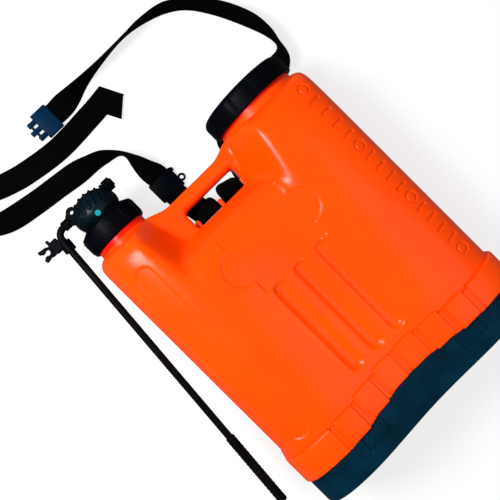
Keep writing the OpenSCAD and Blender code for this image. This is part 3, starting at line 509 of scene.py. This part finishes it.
def black_plastic(name, dark, light, roughness, shine=0.025):
    """Injection-moulded polypropylene: fine spark-eroded grain, a satin sheen, paler on rubbed spots."""
    material, tree = new_material(name)
    grain = mottle(tree, 1.2, 3)
    tone = two_tones(tree, mottle(tree, 30, 5), dark, light, 0.35, 0.75)
    gloss = add_node(tree, "ShaderNodeMapRange", {
        "Value": grain, "To Min": roughness - 0.06, "To Max": roughness + 0.08})
    skin = add_node(tree, "ShaderNodeBump", {"Height": grain, "Strength": 0.15, "Distance": 0.0003})
    cover(tree, {"Base Color": tone, "Roughness": gloss.outputs[0], "Normal": skin.outputs[0], "IOR": 1.49,
                 "Specular IOR Level": shine})
    return material


base_h = 40.2
pocket_x, pocket_half, pocket_deep = 88, 20, 2.7
notch_x, notch_half = 128, 10
screw_x, screw_z = 120, 45
base_bm = plan_plate(base_out, 0, base_h, rise_high=True)
soften_rims(base_bm, 2.5, 0.8)
hollows = bmesh.new()
for side in (-1, 1):
    x = pocket_x * side
    take_in(hollows, front_block(x - pocket_half, x + pocket_half, 22, 70, base_out - pocket_deep, 40, 0))
    x = notch_x * side
    take_in(hollows, block((x - notch_half, 8, -90), (x + notch_half, 27, -64), 0))
    for z in (-screw_z, screw_z):
        take_in(hollows, drum((screw_x * side, -5, z), (screw_x * side, 3, z), 5.3, sides=32))
base_bm = cut_away(base_bm, hollows)
base_plastic = black_plastic("moulded polypropylene, base", "#011B29", "#02283A", 0.45)
finish_piece("base_foot", base_bm, base_plastic, "base_plastic", "sprayer", "base", crease=40)

# Screws and pins of the base, and the strap rod
# Bright zinc-plated steel screws from below, harness pins across the notches, and a rod behind the handle.


def bright_steel(name, dark, light):
    """Plated drawn steel: bright, slightly blue, with a fine broken sheen."""
    material, tree = new_material(name)
    drawn = mottle(tree, 0.8, 4)
    tone = two_tones(tree, drawn, dark, light)
    gloss = add_node(tree, "ShaderNodeMapRange", {"Value": drawn, "To Min": 0.18, "To Max": 0.34})
    cover(tree, {"Base Color": tone, "Roughness": gloss.outputs[0], "Metallic": 1.0})
    return material


def dress(material, *nodes):
    for node in nodes:
        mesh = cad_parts[node].data
        mesh.materials.clear()
        mesh.materials.append(material)


steel = bright_steel("zinc-plated steel", "#B4BEC2", "#DCE4E6")
dress(steel, "base_screws", "anchor_pins", "strap_rod", "drive_pin", "piston_rod", "valve_ball")
dress(bright_steel("blue-passivated zinc on steel", "#0FA3AE", "#2FC4CC"), "pivot_pin")

# Filler: strainer basket, seal, cap and vent
# The cap is moulded polypropylene with shallow grip grooves. It screws down on a rubber seal over the
# basket's rim, and a small rubber vent valve sits in its middle.
cap_at = (115.5, 0)
black_pp = black_plastic("moulded polypropylene, black", "#020307", "#05070C", 0.42)


def lathe(x, z, profile, steps):
    part = bmesh.new()
    ring = [part.verts.new((x + r, y, z)) for r, y in profile]
    sides = [part.edges.new(pair) for pair in zip(ring, ring[1:])]
    bmesh.ops.spin(part, geom=ring + sides, cent=(x, 0, z), axis=(0, 1, 0), angle=2 * math.pi, steps=steps,
                   use_merge=True)
    bmesh.ops.remove_doubles(part, verts=part.verts, dist=1e-4)
    bmesh.ops.recalc_face_normals(part, faces=part.faces)
    return part


def quarter(r, y, soft, start_degrees, steps=6):
    turns = [math.radians(start_degrees + 90 * k / steps) for k in range(steps + 1)]
    return [(r + soft * math.cos(t), y + soft * math.sin(t)) for t in turns]


cap_profile = ([(64.1, 467.6), (64.1, 441.6)] + quarter(68.9, 442.8, 1.2, -90) + quarter(61.1, 462.6, 9, 0)
               + [(40, 471.9), (24, 471.6), (22, 471), (3.1, 471), (3.1, 467.6), (64.1, 467.6)])
cap_bm = lathe(*cap_at, cap_profile, 180)
groove_pitch, groove_deep, groove_half = 30, 1.3, 4.5
for v in cap_bm.verts:
    across, up = v.co.x - cap_at[0], v.co.z - cap_at[1]
    radius, turn = math.hypot(across, up), math.degrees(math.atan2(up, across))
    if radius > 66:
        off = abs((turn + groove_pitch / 2) % groove_pitch - groove_pitch / 2)
        fade = smooth((471 - v.co.y) / 6) * smooth((v.co.y - 443) / 4)
        groove = groove_deep * smooth((groove_half - off) / 2) * fade
        v.co.x -= across / radius * groove
        v.co.z -= up / radius * groove
finish_piece("filler_cap_moulding", cap_bm, black_pp, "black_plastic", "cap", "filler_cap", crease=40)
dress(black_pp, "filler_strainer")


def rubber():
    """EPDM rubber: matt, dusty grey-black with a fine mottle."""
    material, tree = new_material("EPDM rubber")
    dust = mottle(tree, 3, 4)
    tone = two_tones(tree, dust, "#17181A", "#2A2B2D")
    skin = add_node(tree, "ShaderNodeBump", {"Height": dust, "Strength": 0.1, "Distance": 0.0003})
    cover(tree, {"Base Color": tone, "Roughness": 0.8, "Normal": skin.outputs[0], "IOR": 1.5})
    return material


dress(rubber(), "cap_seal", "cap_vent", "pump_seal", "piston_cup")

# Pump inside the tank
# A drawn brass barrel with a brass piston on a steel rod, and below it a plastic foot valve, a clear suction
# pipe and a slotted strainer. They hang from the pump head into the tank.


def brass():
    """Drawn brass: warm yellow, lightly tarnished in patches."""
    material, tree = new_material("drawn brass")
    patch = mottle(tree, 12, 5)
    tone = two_tones(tree, patch, "#A98840", "#D8B566")
    gloss = add_node(tree, "ShaderNodeMapRange", {"Value": patch, "To Min": 0.22, "To Max": 0.4})
    cover(tree, {"Base Color": tone, "Roughness": gloss.outputs[0], "Metallic": 1.0})
    return material


def clear_pipe():
    """Extruded clear PVC pipe: see-through, with a skin that is milky in spots."""
    material, tree = new_material("clear PVC pipe")
    gloss = add_node(tree, "ShaderNodeMapRange", {"Value": mottle(tree, 4, 2), "To Min": 0.05, "To Max": 0.2})
    cover(tree, {"Base Color": linear("#E9EEEE"), "Roughness": gloss.outputs[0], "IOR": 1.53,
                 "Transmission Weight": 0.85})
    return material


dress(brass(), "pump_barrel", "piston")
dress(clear_pipe(), "suction_pipe")
dress(black_pp, "foot_valve", "suction_strainer")

# Pump head
# Black moulded nylon. A ribbed dome with a slot for the rocker stands on a flange, which the ring nut holds
# down on the neck. The outlet's spigot comes out of its side.
pump_x = -138.5
barrel_x = -121.3
pivot_y = 482.5
outlet_y = 505
dome_low_y, dome_mid_y, dome_r, dome_h = 480, 490.5, 34.5, 27.5
rib_lean, rib_pitch, rib_half_w, rib_out = math.radians(14), 9, 1.5, 1.9
slot_half = 6.5


def dome_profile(grow):
    tall = dome_h + grow
    start = math.asin((dome_low_y - dome_mid_y) / tall)
    turns = [start + (math.pi / 2 - start) * k / 20 for k in range(21)]
    return [((dome_r + grow) * math.cos(t), dome_mid_y + tall * math.sin(t)) for t in turns]


head_profile = [(0, 444), (33.7, 444), (33.7, 466.5), (38.3, 466.5), (38.3, 470.5), (30, 470.5),
                (30, dome_low_y)]
head_parts = [lathe(pump_x, 0, head_profile + dome_profile(0), 96),
              drum((pump_x + 18, outlet_y, 0), (-109.5, outlet_y, 0), 8),
              drum((pump_x + 18, outlet_y, 0), (-94.5, outlet_y, 0), 6)]
for i in (-2, -1, 0, 1, 2):
    rib = lathe(pump_x, 0, [(0, dome_low_y)] + dome_profile(rib_out), 96)
    foot = Vector((pump_x + rib_pitch * i, 507.75, 0))
    across = Vector((math.cos(rib_lean), -math.sin(rib_lean), 0))
    up = Vector((math.sin(rib_lean), math.cos(rib_lean), 0))
    slice_off(rib, foot + rib_half_w * across, across)
    slice_off(rib, foot - rib_half_w * across, -across)
    slice_off(rib, foot - 15 * up, -up)
    head_parts.append(rib)
head_bm = bmesh.new()
for part in head_parts:
    take_in(head_bm, cut_away(part, block((-200, pivot_y - 10, -slot_half), (-114, 560, slot_half), 0)))
head_bm = reshape(head_bm, "REMESH", mode="VOXEL", voxel_size=0.75)
relax(head_bm, 1)
head_bm = cut_away(head_bm, block((barrel_x - 7.5, 467, -slot_half), (barrel_x + 7.5, 481, slot_half), 0))
for start, end, radius in (((barrel_x, 440, 0), (barrel_x, 458, 0), 14.05),
                           ((barrel_x, 457, 0), (barrel_x, 470, 0), 5.05),
                           ((pump_x, pivot_y, -50), (pump_x, pivot_y, 50), 4.05),
                           ((-111.5, outlet_y, 0), (-90, outlet_y, 0), 3.2)):
    head_bm = cut_away(head_bm, drum(start, end, radius))
nylon_head = black_plastic("glass-filled nylon, pump", "#01080E", "#04151D", 0.34, shine=0.1)
finish_piece("pump_head_moulding", head_bm, nylon_head, "black_plastic", "sprayer", "pump_head", crease=50)

# Ring nut of the pump
# Black moulded polypropylene with ten grip lugs. It screws over the pump neck and clamps the head's flange.
nut_profile = [(38.8, 444.3), (41.2, 444.3), (43.2, 446.3), (43.2, 471.8), (31.2, 478.3), (30.5, 478.3),
               (30.5, 470.8), (38.8, 470.8), (38.8, 444.3)]
nut_bm = lathe(pump_x, 0, nut_profile, 120)
round_edges(nut_bm, sharp_edges(nut_bm, 0.45), 0.6, segments=2)
lugs = 10
for i in range(lugs):
    lug = block((39.9, 448.3, -6), (44.7, 468.8, 6), 1.3)
    spot = Matrix.Translation((pump_x, 0, 0)) @ Matrix.Rotation(math.radians(360 / lugs * (i + 0.5)), 4, "Y")
    bmesh.ops.transform(lug, matrix=spot, verts=lug.verts)
    take_in(nut_bm, lug)
finish_piece("ring_nut_moulding", nut_bm, black_pp, "black_plastic", "sprayer", "ring_nut", crease=40)

# Outlet nut
# A hexagon nut of black moulded polypropylene with rounded edges. It screws on the outlet's spigot and clamps
# the hose there.
hex_bm = drum((-108.9, outlet_y, 0), (-96.5, outlet_y, 0), 10, sides=6)
round_edges(hex_bm, hex_bm.edges[:], 1.2)
hex_bm = cut_away(hex_bm, drum((-115, outlet_y, 0), (-90, outlet_y, 0), 6.3))
finish_piece("outlet_nut_moulding", hex_bm, black_pp, "black_plastic", "sprayer", "outlet_nut")

# Rocker
# A moulding of black polypropylene on the pivot pin. Its boss takes the lever, its lug a pin that locks the
# lever, and its fork drives the piston rod through the drive pin.
arm_y = 505.5
lug_at = (-163.5, 512.3)
rocker_half = 6
crank = 18
rocker_bm = drum((pump_x, pivot_y, -rocker_half), (pump_x, pivot_y, rocker_half), 9.5)
take_in(rocker_bm, drum((*lug_at, -rocker_half), (*lug_at, rocker_half), 7.5))
take_in(rocker_bm, drum((-185.7, arm_y, 0), (-173.7, arm_y, 0), 7.2))
web = bmesh.new()
corners = bmesh.ops.create_circle(web, cap_ends=True, segments=6, radius=1)["verts"]
web_plan = ((pump_x, 473.5), (-175.7, 499.3), (-175.7, 511.7), (-167.5, 518.3), (-159.5, 518.3),
            (pump_x, 491.5))
for v, spot in zip(corners, web_plan):
    v.co = (*spot, -rocker_half)
thicken(web, (0, 0, 2 * rocker_half))
take_in(rocker_bm, web)
fork = block((0, -4.5, -rocker_half), (crank, 4.5, rocker_half), 0)
take_in(fork, drum((crank, 0, -rocker_half), (crank, 0, rocker_half), 4.7))
fork_turn = Matrix.Translation((pump_x, pivot_y, 0)) @ Matrix.Rotation(math.radians(25), 4, "Z")
bmesh.ops.transform(fork, matrix=fork_turn, verts=fork.verts)
take_in(rocker_bm, fork)
rocker_bm = reshape(rocker_bm, "REMESH", mode="VOXEL", voxel_size=0.7)
relax(rocker_bm, 2)
tongue = block((9.2, -20, -3.2), (40, 20, 3.2), 0)
bmesh.ops.transform(tongue, matrix=fork_turn, verts=tongue.verts)
rocker_bm = cut_away(rocker_bm, tongue)
drive_at = fork_turn @ Vector((crank, 0, 0))
for spot, radius in (((pump_x, pivot_y), 4.05), (lug_at, 3), (drive_at.xy, 2.55)):
    rocker_bm = cut_away(rocker_bm, drum((*spot, -20), (*spot, 20), radius))
rocker_bm = cut_away(rocker_bm, drum((-195, arm_y, 0), (-174.2, arm_y, 0), 5.05))
finish_piece("rocker_moulding", rocker_bm, black_pp, "black_plastic", "lever", "rocker", crease=50)

# Lever
# A drawn steel rod, 10 mm thick, bent at its elbow and powder-coated black. It is pressed into the rocker's
# boss.
rod_r, rod_start_x, rod_length, bend_r = 5, -174.4, 457, 12
elbow = Vector((-186.5, 493.5, 0))
splay = math.radians(4.8)
lever_aim = Vector((-math.sin(splay), -math.cos(splay), 0))
lever_start = elbow + bend_r * Vector((-math.cos(splay), math.sin(splay), 0))
rod_bm = bmesh.new()
end_spot = Matrix.Translation((rod_start_x, arm_y, 0)) @ Matrix.Rotation(math.pi / 2, 4, "Y")
bmesh.ops.create_circle(rod_bm, segments=36, radius=rod_r, matrix=end_spot)


def pull_on(bm, edges, way):
    moved = bmesh.ops.extrude_edge_only(bm, edges=edges)["geom"]
    bmesh.ops.translate(bm, vec=way, verts=[g for g in moved if isinstance(g, bmesh.types.BMVert)])
    return [g for g in moved if isinstance(g, bmesh.types.BMEdge)]


rim = pull_on(rod_bm, rod_bm.edges[:], (elbow.x - rod_start_x, 0, 0))
bend = bmesh.ops.spin(rod_bm, geom=rim + list({v for e in rim for v in e.verts}), cent=elbow, axis=(0, 0, 1),
                      angle=math.pi / 2 - splay, steps=20)["geom_last"]
pull_on(rod_bm, [g for g in bend if isinstance(g, bmesh.types.BMEdge)], rod_length * lever_aim)
bmesh.ops.holes_fill(rod_bm, edges=[e for e in rod_bm.edges if e.is_boundary])
bmesh.ops.remove_doubles(rod_bm, verts=rod_bm.verts, dist=1e-4)
bmesh.ops.recalc_face_normals(rod_bm, faces=rod_bm.faces)
powder_coat = black_plastic("black powder coat", "#040507", "#0A0C0E", 0.4)
finish_piece("lever_bar", rod_bm, powder_coat, "black_rod", "lever", "lever_rod")

# Lever grip
# A ribbed rubber sleeve pushed over the lever's lower end, closed and rounded at its foot.
grip_r, groove_r, grip_bore, grip_pitch = 6.6, 6.25, 5.05, 6
grip_profile = [(0, rod_length), (grip_bore, rod_length), (grip_bore, 347), (5.9, 347), (grip_r, 348)]
for k in range(17):
    y = 351 + grip_pitch * k
    grip_profile += [(grip_r, y), (groove_r, y + 0.8), (groove_r, y + 1.8), (grip_r, y + 2.6)]
grip_profile += quarter(4.1, 457.5, 2.5, 0) + [(0, 460)]
grip_bm = lathe(0, 0, grip_profile, 48)
along = Matrix.Translation(lever_start) @ Matrix.Rotation(math.pi - splay, 4, "Z")
bmesh.ops.transform(grip_bm, matrix=along, verts=grip_bm.verts)
sleeve = black_plastic("rubber sleeve", "#050506", "#0B0B0C", 0.65)
finish_piece("lever_grip_sleeve", grip_bm, sleeve, "lever_grip_plastic", "lever", "lever_grip")

# Lance clip
# A clip of black moulded polypropylene, pushed on the lever below its elbow. Its jaw with two prongs holds
# the lance tube while the sprayer is carried.
clip_at = (-224, 495.5)
tube_r, mouth_half = 4, 2.8
clip_bm = drum(lever_start + 3 * lever_aim, lever_start + 19 * lever_aim, 8.5)
take_in(clip_bm, drum((*clip_at, -6), (*clip_at, 6), 7.8))
for low_x, low_y, high_x, high_y, half in ((-223, 486.5, -198.5, 498.5, 5.5), (-217, 495.5, -213, 508.5, 5),
                                           (-215, 485, -203, 503.5, 5.2)):
    take_in(clip_bm, block((low_x, low_y, -half), (high_x, high_y, half), 0))
for side in (-1, 1):
    prong = block((-6, -2.4, -5.7), (4, 2.4, 5.7), 0)
    turn = Matrix.Rotation(math.radians(-12 * side), 4, "Z")
    spot = Matrix.Translation((-228, clip_at[1] + 6 * side, 0)) @ turn
    bmesh.ops.transform(prong, matrix=spot, verts=prong.verts)
    take_in(clip_bm, prong)
clip_bm = reshape(clip_bm, "REMESH", mode="VOXEL", voxel_size=0.6)
relax(clip_bm, 2)
clip_bm = cut_away(clip_bm, drum((*clip_at, -20), (*clip_at, 20), tube_r))
mouth = block((-250, clip_at[1] - mouth_half, -20), (-225, clip_at[1] + mouth_half, 20), 0)
clip_bm = cut_away(clip_bm, mouth)
clip_bm = cut_away(clip_bm, drum(lever_start - 12 * lever_aim, lever_start + 2.5 * lever_aim, 6.3))
clip_bm = cut_away(clip_bm, drum(lever_start - 12 * lever_aim, lever_start + 60 * lever_aim, 5.05))
finish_piece("lance_clip_moulding", clip_bm, black_pp, "black_plastic", "lever", "lance_clip", crease=50)

# Adjuster
# A ladder buckle of dark nylon on the left strap. The webbing runs through its frame under three bars, and a
# ring on its side takes a cord.
buckle_half, buckle_low_z, buckle_high_z = 21, 0.3, 9.3
slot_low, slot_high = (-18.25, -40, 3.1), (18.25, 40, 7.9)
eye_at = (24.4, -6)
adjuster_bm = block((-buckle_half, -17, buckle_low_z), (buckle_half, 17, buckle_high_z), 2.2)
adjuster_bm = cut_away(adjuster_bm, block(slot_low, slot_high, 0))
for y in (-10, -3, 4):
    take_in(adjuster_bm, block((-15, y - 1.2, 8.4), (15, y + 1.2, 10.5), 0.7))
take_in(adjuster_bm, block((16, 9, 2.5), (24, 15.5, 7.5), 1.4))
eye = drum((*eye_at, buckle_low_z), (*eye_at, 5.3), 6)
round_edges(eye, sharp_edges(eye, 1), 1)
take_in(adjuster_bm, cut_away(eye, drum((*eye_at, -5), (*eye_at, 10), 3)))
bmesh.ops.translate(adjuster_bm, vec=(-41.5, 458, back_z), verts=adjuster_bm.verts)
nylon = black_plastic("moulded nylon, buckle", "#010309", "#02070F", 0.4)
adjuster = finish_piece("adjuster_buckle", adjuster_bm, nylon, "buckle_plastic", "sprayer", "adjuster")

# Hook buckle
# A dark blue nylon buckle on the right strap's end. Its plain cover plate hides the doubled webbing, and
# three prongs with a cross bar hook over a pin at the foot of the tank.
hook_bm = block((-buckle_half, -13.5, buckle_low_z), (buckle_half, 13.5, buckle_high_z), 1.2)
hook_bm = cut_away(hook_bm, block(slot_low, slot_high, 0))
for x in (-12, 0, 12):
    take_in(hook_bm, block((x - 3.5, 13, buckle_low_z), (x + 3.5, 30 - abs(x) / 3, 7.3), 1.3))
take_in(hook_bm, block((-16, 20, 1.3), (16, 24, 6.3), 1))
spot = Matrix.Translation((-98, 645.5, back_z)) @ Matrix.Rotation(math.pi / 2, 4, "Z")
bmesh.ops.transform(hook_bm, matrix=spot, verts=hook_bm.verts)
blue_nylon = black_plastic("moulded nylon, blue", "#011D34", "#022544", 0.4)
hook = finish_piece("hook_buckle_moulding", hook_bm, blue_nylon, "buckle_plastic", "sprayer", "hook_buckle")

# Straps
# Two woven polypropylene straps, 35 mm wide. Each is sewn round the rod behind the handle and lies across the
# floor. The left one ends in a loose fold, the right one in its hook.
strap_w = 35
strap_t = 1.8
tip_r = 9
# Each point of a route gives the strap's middle, and the turn and lean of its width in degrees
strap_left_route = [
    (-33, 396, 4.2, 0, 0), (-32, 390, 4.6, 0, 0), (-32, 381.5, 4.6, 0, 0), (-32, 376.4, 1, 0, 0),
    (-32, 376.6, -8, 0, 0), (-33, 379, -18, 0, 0), (-34, 384, -28, 0, 0), (-35, 394, -38, 0, 0),
    (-37, 408, -49, 0, 0),
    (-39, 422, -62, 0, 0), (-41, 434, -73, 0, 0), (-41.5, 444, -76.5, 0, 0), (-41.5, 458, -76.5, 0, 0),
    (-41.8, 476, -76.5, 0, 0), (-46, 493, -70, 8, 38), (-49.5, 513, -64.8, 19, 66),
    (-56, 535, -63.5, 39, 90), (-77.5, 549, -64.7, 59, 66), (-100, 556, -67.5, 73, 50),
    (-122, 561, -73, 80, 24), (-150, 566.5, -80, 83, 2), (-195, 572.5, -79.8, 82, 3),
    (-238, 579.5, -72, 74, 28), (-268, 593, -66, 52, 58), (-286, 612, -63.4, 12, 82),
    (-281, 633, -63.4, -45, 82), (-258, 638, -68, -84, 46), (-232, 631.5, -77, -102, 12),
    (-205, 621.5, -79.6, -106, 3), (-170, 612.5, -80.4, -100, 0), (-113, 605.5, -80.5, -92, 0),
    (-50, 608.8, -80.5, -87, 0), (-22, 611.3, -80.5, -80, 0)]
strap_right_route = [
    (12.5, 397.5, 4, 0, 0), (10.5, 390, 4.6, 0, 0), (10, 381.5, 4.6, 0, 0), (10, 376.4, 1, 0, 0),
    (10, 376.4, -8, 0, 0), (10, 376.4, -30, 0, 0), (10, 376.4, -45, 0, 0), (12.5, 376.4, -54.5, 0, 30),
    (19.5, 376.6, -61.5, 0, 60), (28, 377.6, -63.4, 0, 88), (34, 382.5, -63.5, 0, 90),
    (37.6, 393.5, -63.5, 0, 90), (41.6, 410, -63.5, 0, 90), (45.6, 425.5, -63.5, -90, 90),
    (50, 436.6, -63.5, -90, 90), (57.5, 440.2, -63.9, -90, 78), (70, 447, -69, -90, 43),
    (84, 454, -75, -90, 19), (100, 457.2, -78.2, -90, 8), (120, 460, -79.6, -90, 4),
    (145, 461, -80, -90, 1), (174, 462, -79, -84, 4), (195, 466, -75, -64, 16), (211, 474, -67.5, -40, 50),
    (221, 489, -63.7, -14, 92), (223, 513, -63.4, 6, 85), (215, 547, -64.2, 20, 70),
    (194, 590, -64.2, 29, 71), (167, 622, -63.3, 44, 85), (139, 643, -63.4, 64, 82),
    (100, 652.5, -63.3, 82, 92), (62, 654, -63.5, 94, 100), (13, 650.5, -63.4, 97, 92),
    (-27, 647, -64.1, 95, 73), (-56, 645, -70, 92, 40), (-76, 645.3, -76, 90, 4),
    (-86, 645.5, -76.5, 90, 0), (-98, 645.5, -76.5, 90, 0)]


def strap_line(route, steps):
    points = [Vector(p) for p in route]
    last = len(points) - 1
    line = []
    for i in range(last):
        p0, p1, p2, p3 = (points[min(last, max(0, i + k))] for k in (-1, 0, 1, 2))
        for f in (j / steps for j in range(steps)):
            line.append((2 * p1 + (p2 - p0) * f + (2 * p0 - 5 * p1 + 4 * p2 - p3) * f ** 2
                         + (3 * p1 - p0 - 3 * p2 + p3) * f ** 3) / 2)
    return line + [points[last]]


def strap_edges(route):
    line = strap_line(route, 6)
    path = [Vector(p[:3]) for p in line]
    edges = []
    for i, p in enumerate(path):
        tangent = (path[min(i + 1, len(path) - 1)] - path[max(i - 1, 0)]).normalized()
        turn, lean = (math.radians(a) for a in line[i][3:5])
        aim = Vector((math.cos(turn) * math.cos(lean), math.sin(turn) * math.cos(lean), math.sin(lean)))
        across = (aim - aim.dot(tangent) * tangent).normalized()
        corner = max(0, tip_r - (p - path[0]).length)
        half = strap_w / 2 - tip_r + math.sqrt(tip_r ** 2 - corner * corner)
        edges.append((p - across * half, p + across * half))
    return edges


def webbing():
    """Woven black polypropylene webbing: cross ribs 1.6 mm apart, a herringbone of 3 mm, firm edges."""
    material, tree = new_material("woven polypropylene webbing")
    place = add_node(tree, "ShaderNodeUVMap", uv_map="webbing_mm").outputs[0]
    along = add_node(tree, "ShaderNodeTexWave", {
        "Vector": place, "Scale": 0.314 / 1.6, "Distortion": 0.6, "Detail": 1}, bands_direction="X")
    across = add_node(tree, "ShaderNodeTexWave", {
        "Vector": place, "Scale": 0.314 / 3, "Distortion": 0.3}, bands_direction="Y")
    weave = add_node(tree, "ShaderNodeMath", {
        0: along.outputs[1], 1: across.outputs[1]}, operation="MULTIPLY").outputs[0]
    fuzz = add_node(tree, "ShaderNodeTexNoise", {"Vector": place, "Scale": 1 / 6, "Detail": 5})
    level = add_node(tree, "ShaderNodeMath", {0: weave, 1: fuzz.outputs[0]}, operation="MULTIPLY")
    tone = two_tones(tree, level.outputs[0], "#010101", "#070708")
    ribs = add_node(tree, "ShaderNodeBump", {"Height": weave, "Strength": 0.7, "Distance": 0.0004})
    cover(tree, {"Base Color": tone, "Roughness": 0.85, "Normal": ribs.outputs[0], "IOR": 1.49,
                 "Specular IOR Level": 0.03})
    return material


def make_strap(name, edges, material, node, **facts):
    path = [(a + b) / 2 for a, b in edges]
    reach = [0]
    for a, b in zip(path, path[1:]):
        reach.append(reach[-1] + (b - a).length)
    last = len(edges) - 1
    bm = bmesh.new()
    uv = bm.loops.layers.uv.new("webbing_mm")
    bmesh.ops.create_grid(bm, x_segments=last, y_segments=8, size=1, calc_uvs=True)
    for face in bm.faces:
        for loop in face.loops:
            loop[uv].uv = (reach[round(loop[uv].uv.x * last)], loop[uv].uv.y * strap_w)
    for v in bm.verts:
        left, right = edges[round((v.co.x + 1) / 2 * last)]
        v.co = left.lerp(right, (v.co.y + 1) / 2)
    piece = finish_piece(name, bm, material, "webbing", "sprayer", node)
    thick = piece.modifiers.new("webbing thickness", "SOLIDIFY")
    thick.thickness = strap_t / 1000
    thick.offset = 0
    return piece


# The left strap's end is folded over along a slanted line
fold = (Vector((-9.7, 630.8, -80.5)), Vector((7.6, 596.8, -80.5)))
flap = (Vector((-35.4, 604, -78.4)), Vector((-19.4, 573, -78.4)))
crown = Vector((0.8, -0.35, 0))
left_edges = strap_edges(strap_left_route) + [fold]
left_edges += [tuple(p + crown + Vector((0, 0, 1)) for p in fold)]
for share in (0.02, 0.2, 0.4, 0.6, 0.8, 1):
    left_edges.append(tuple((p + Vector((0, 0, 2.1))).lerp(q, share) for p, q in zip(fold, flap)))
woven = webbing()
make_strap("strap_left_webbing", left_edges, woven, "strap_left", far_end="bare", with_pieces=[adjuster])
make_strap("strap_right_webbing", strap_edges(strap_right_route), woven, "strap_right", far_end="fitting",
           with_pieces=[hook])
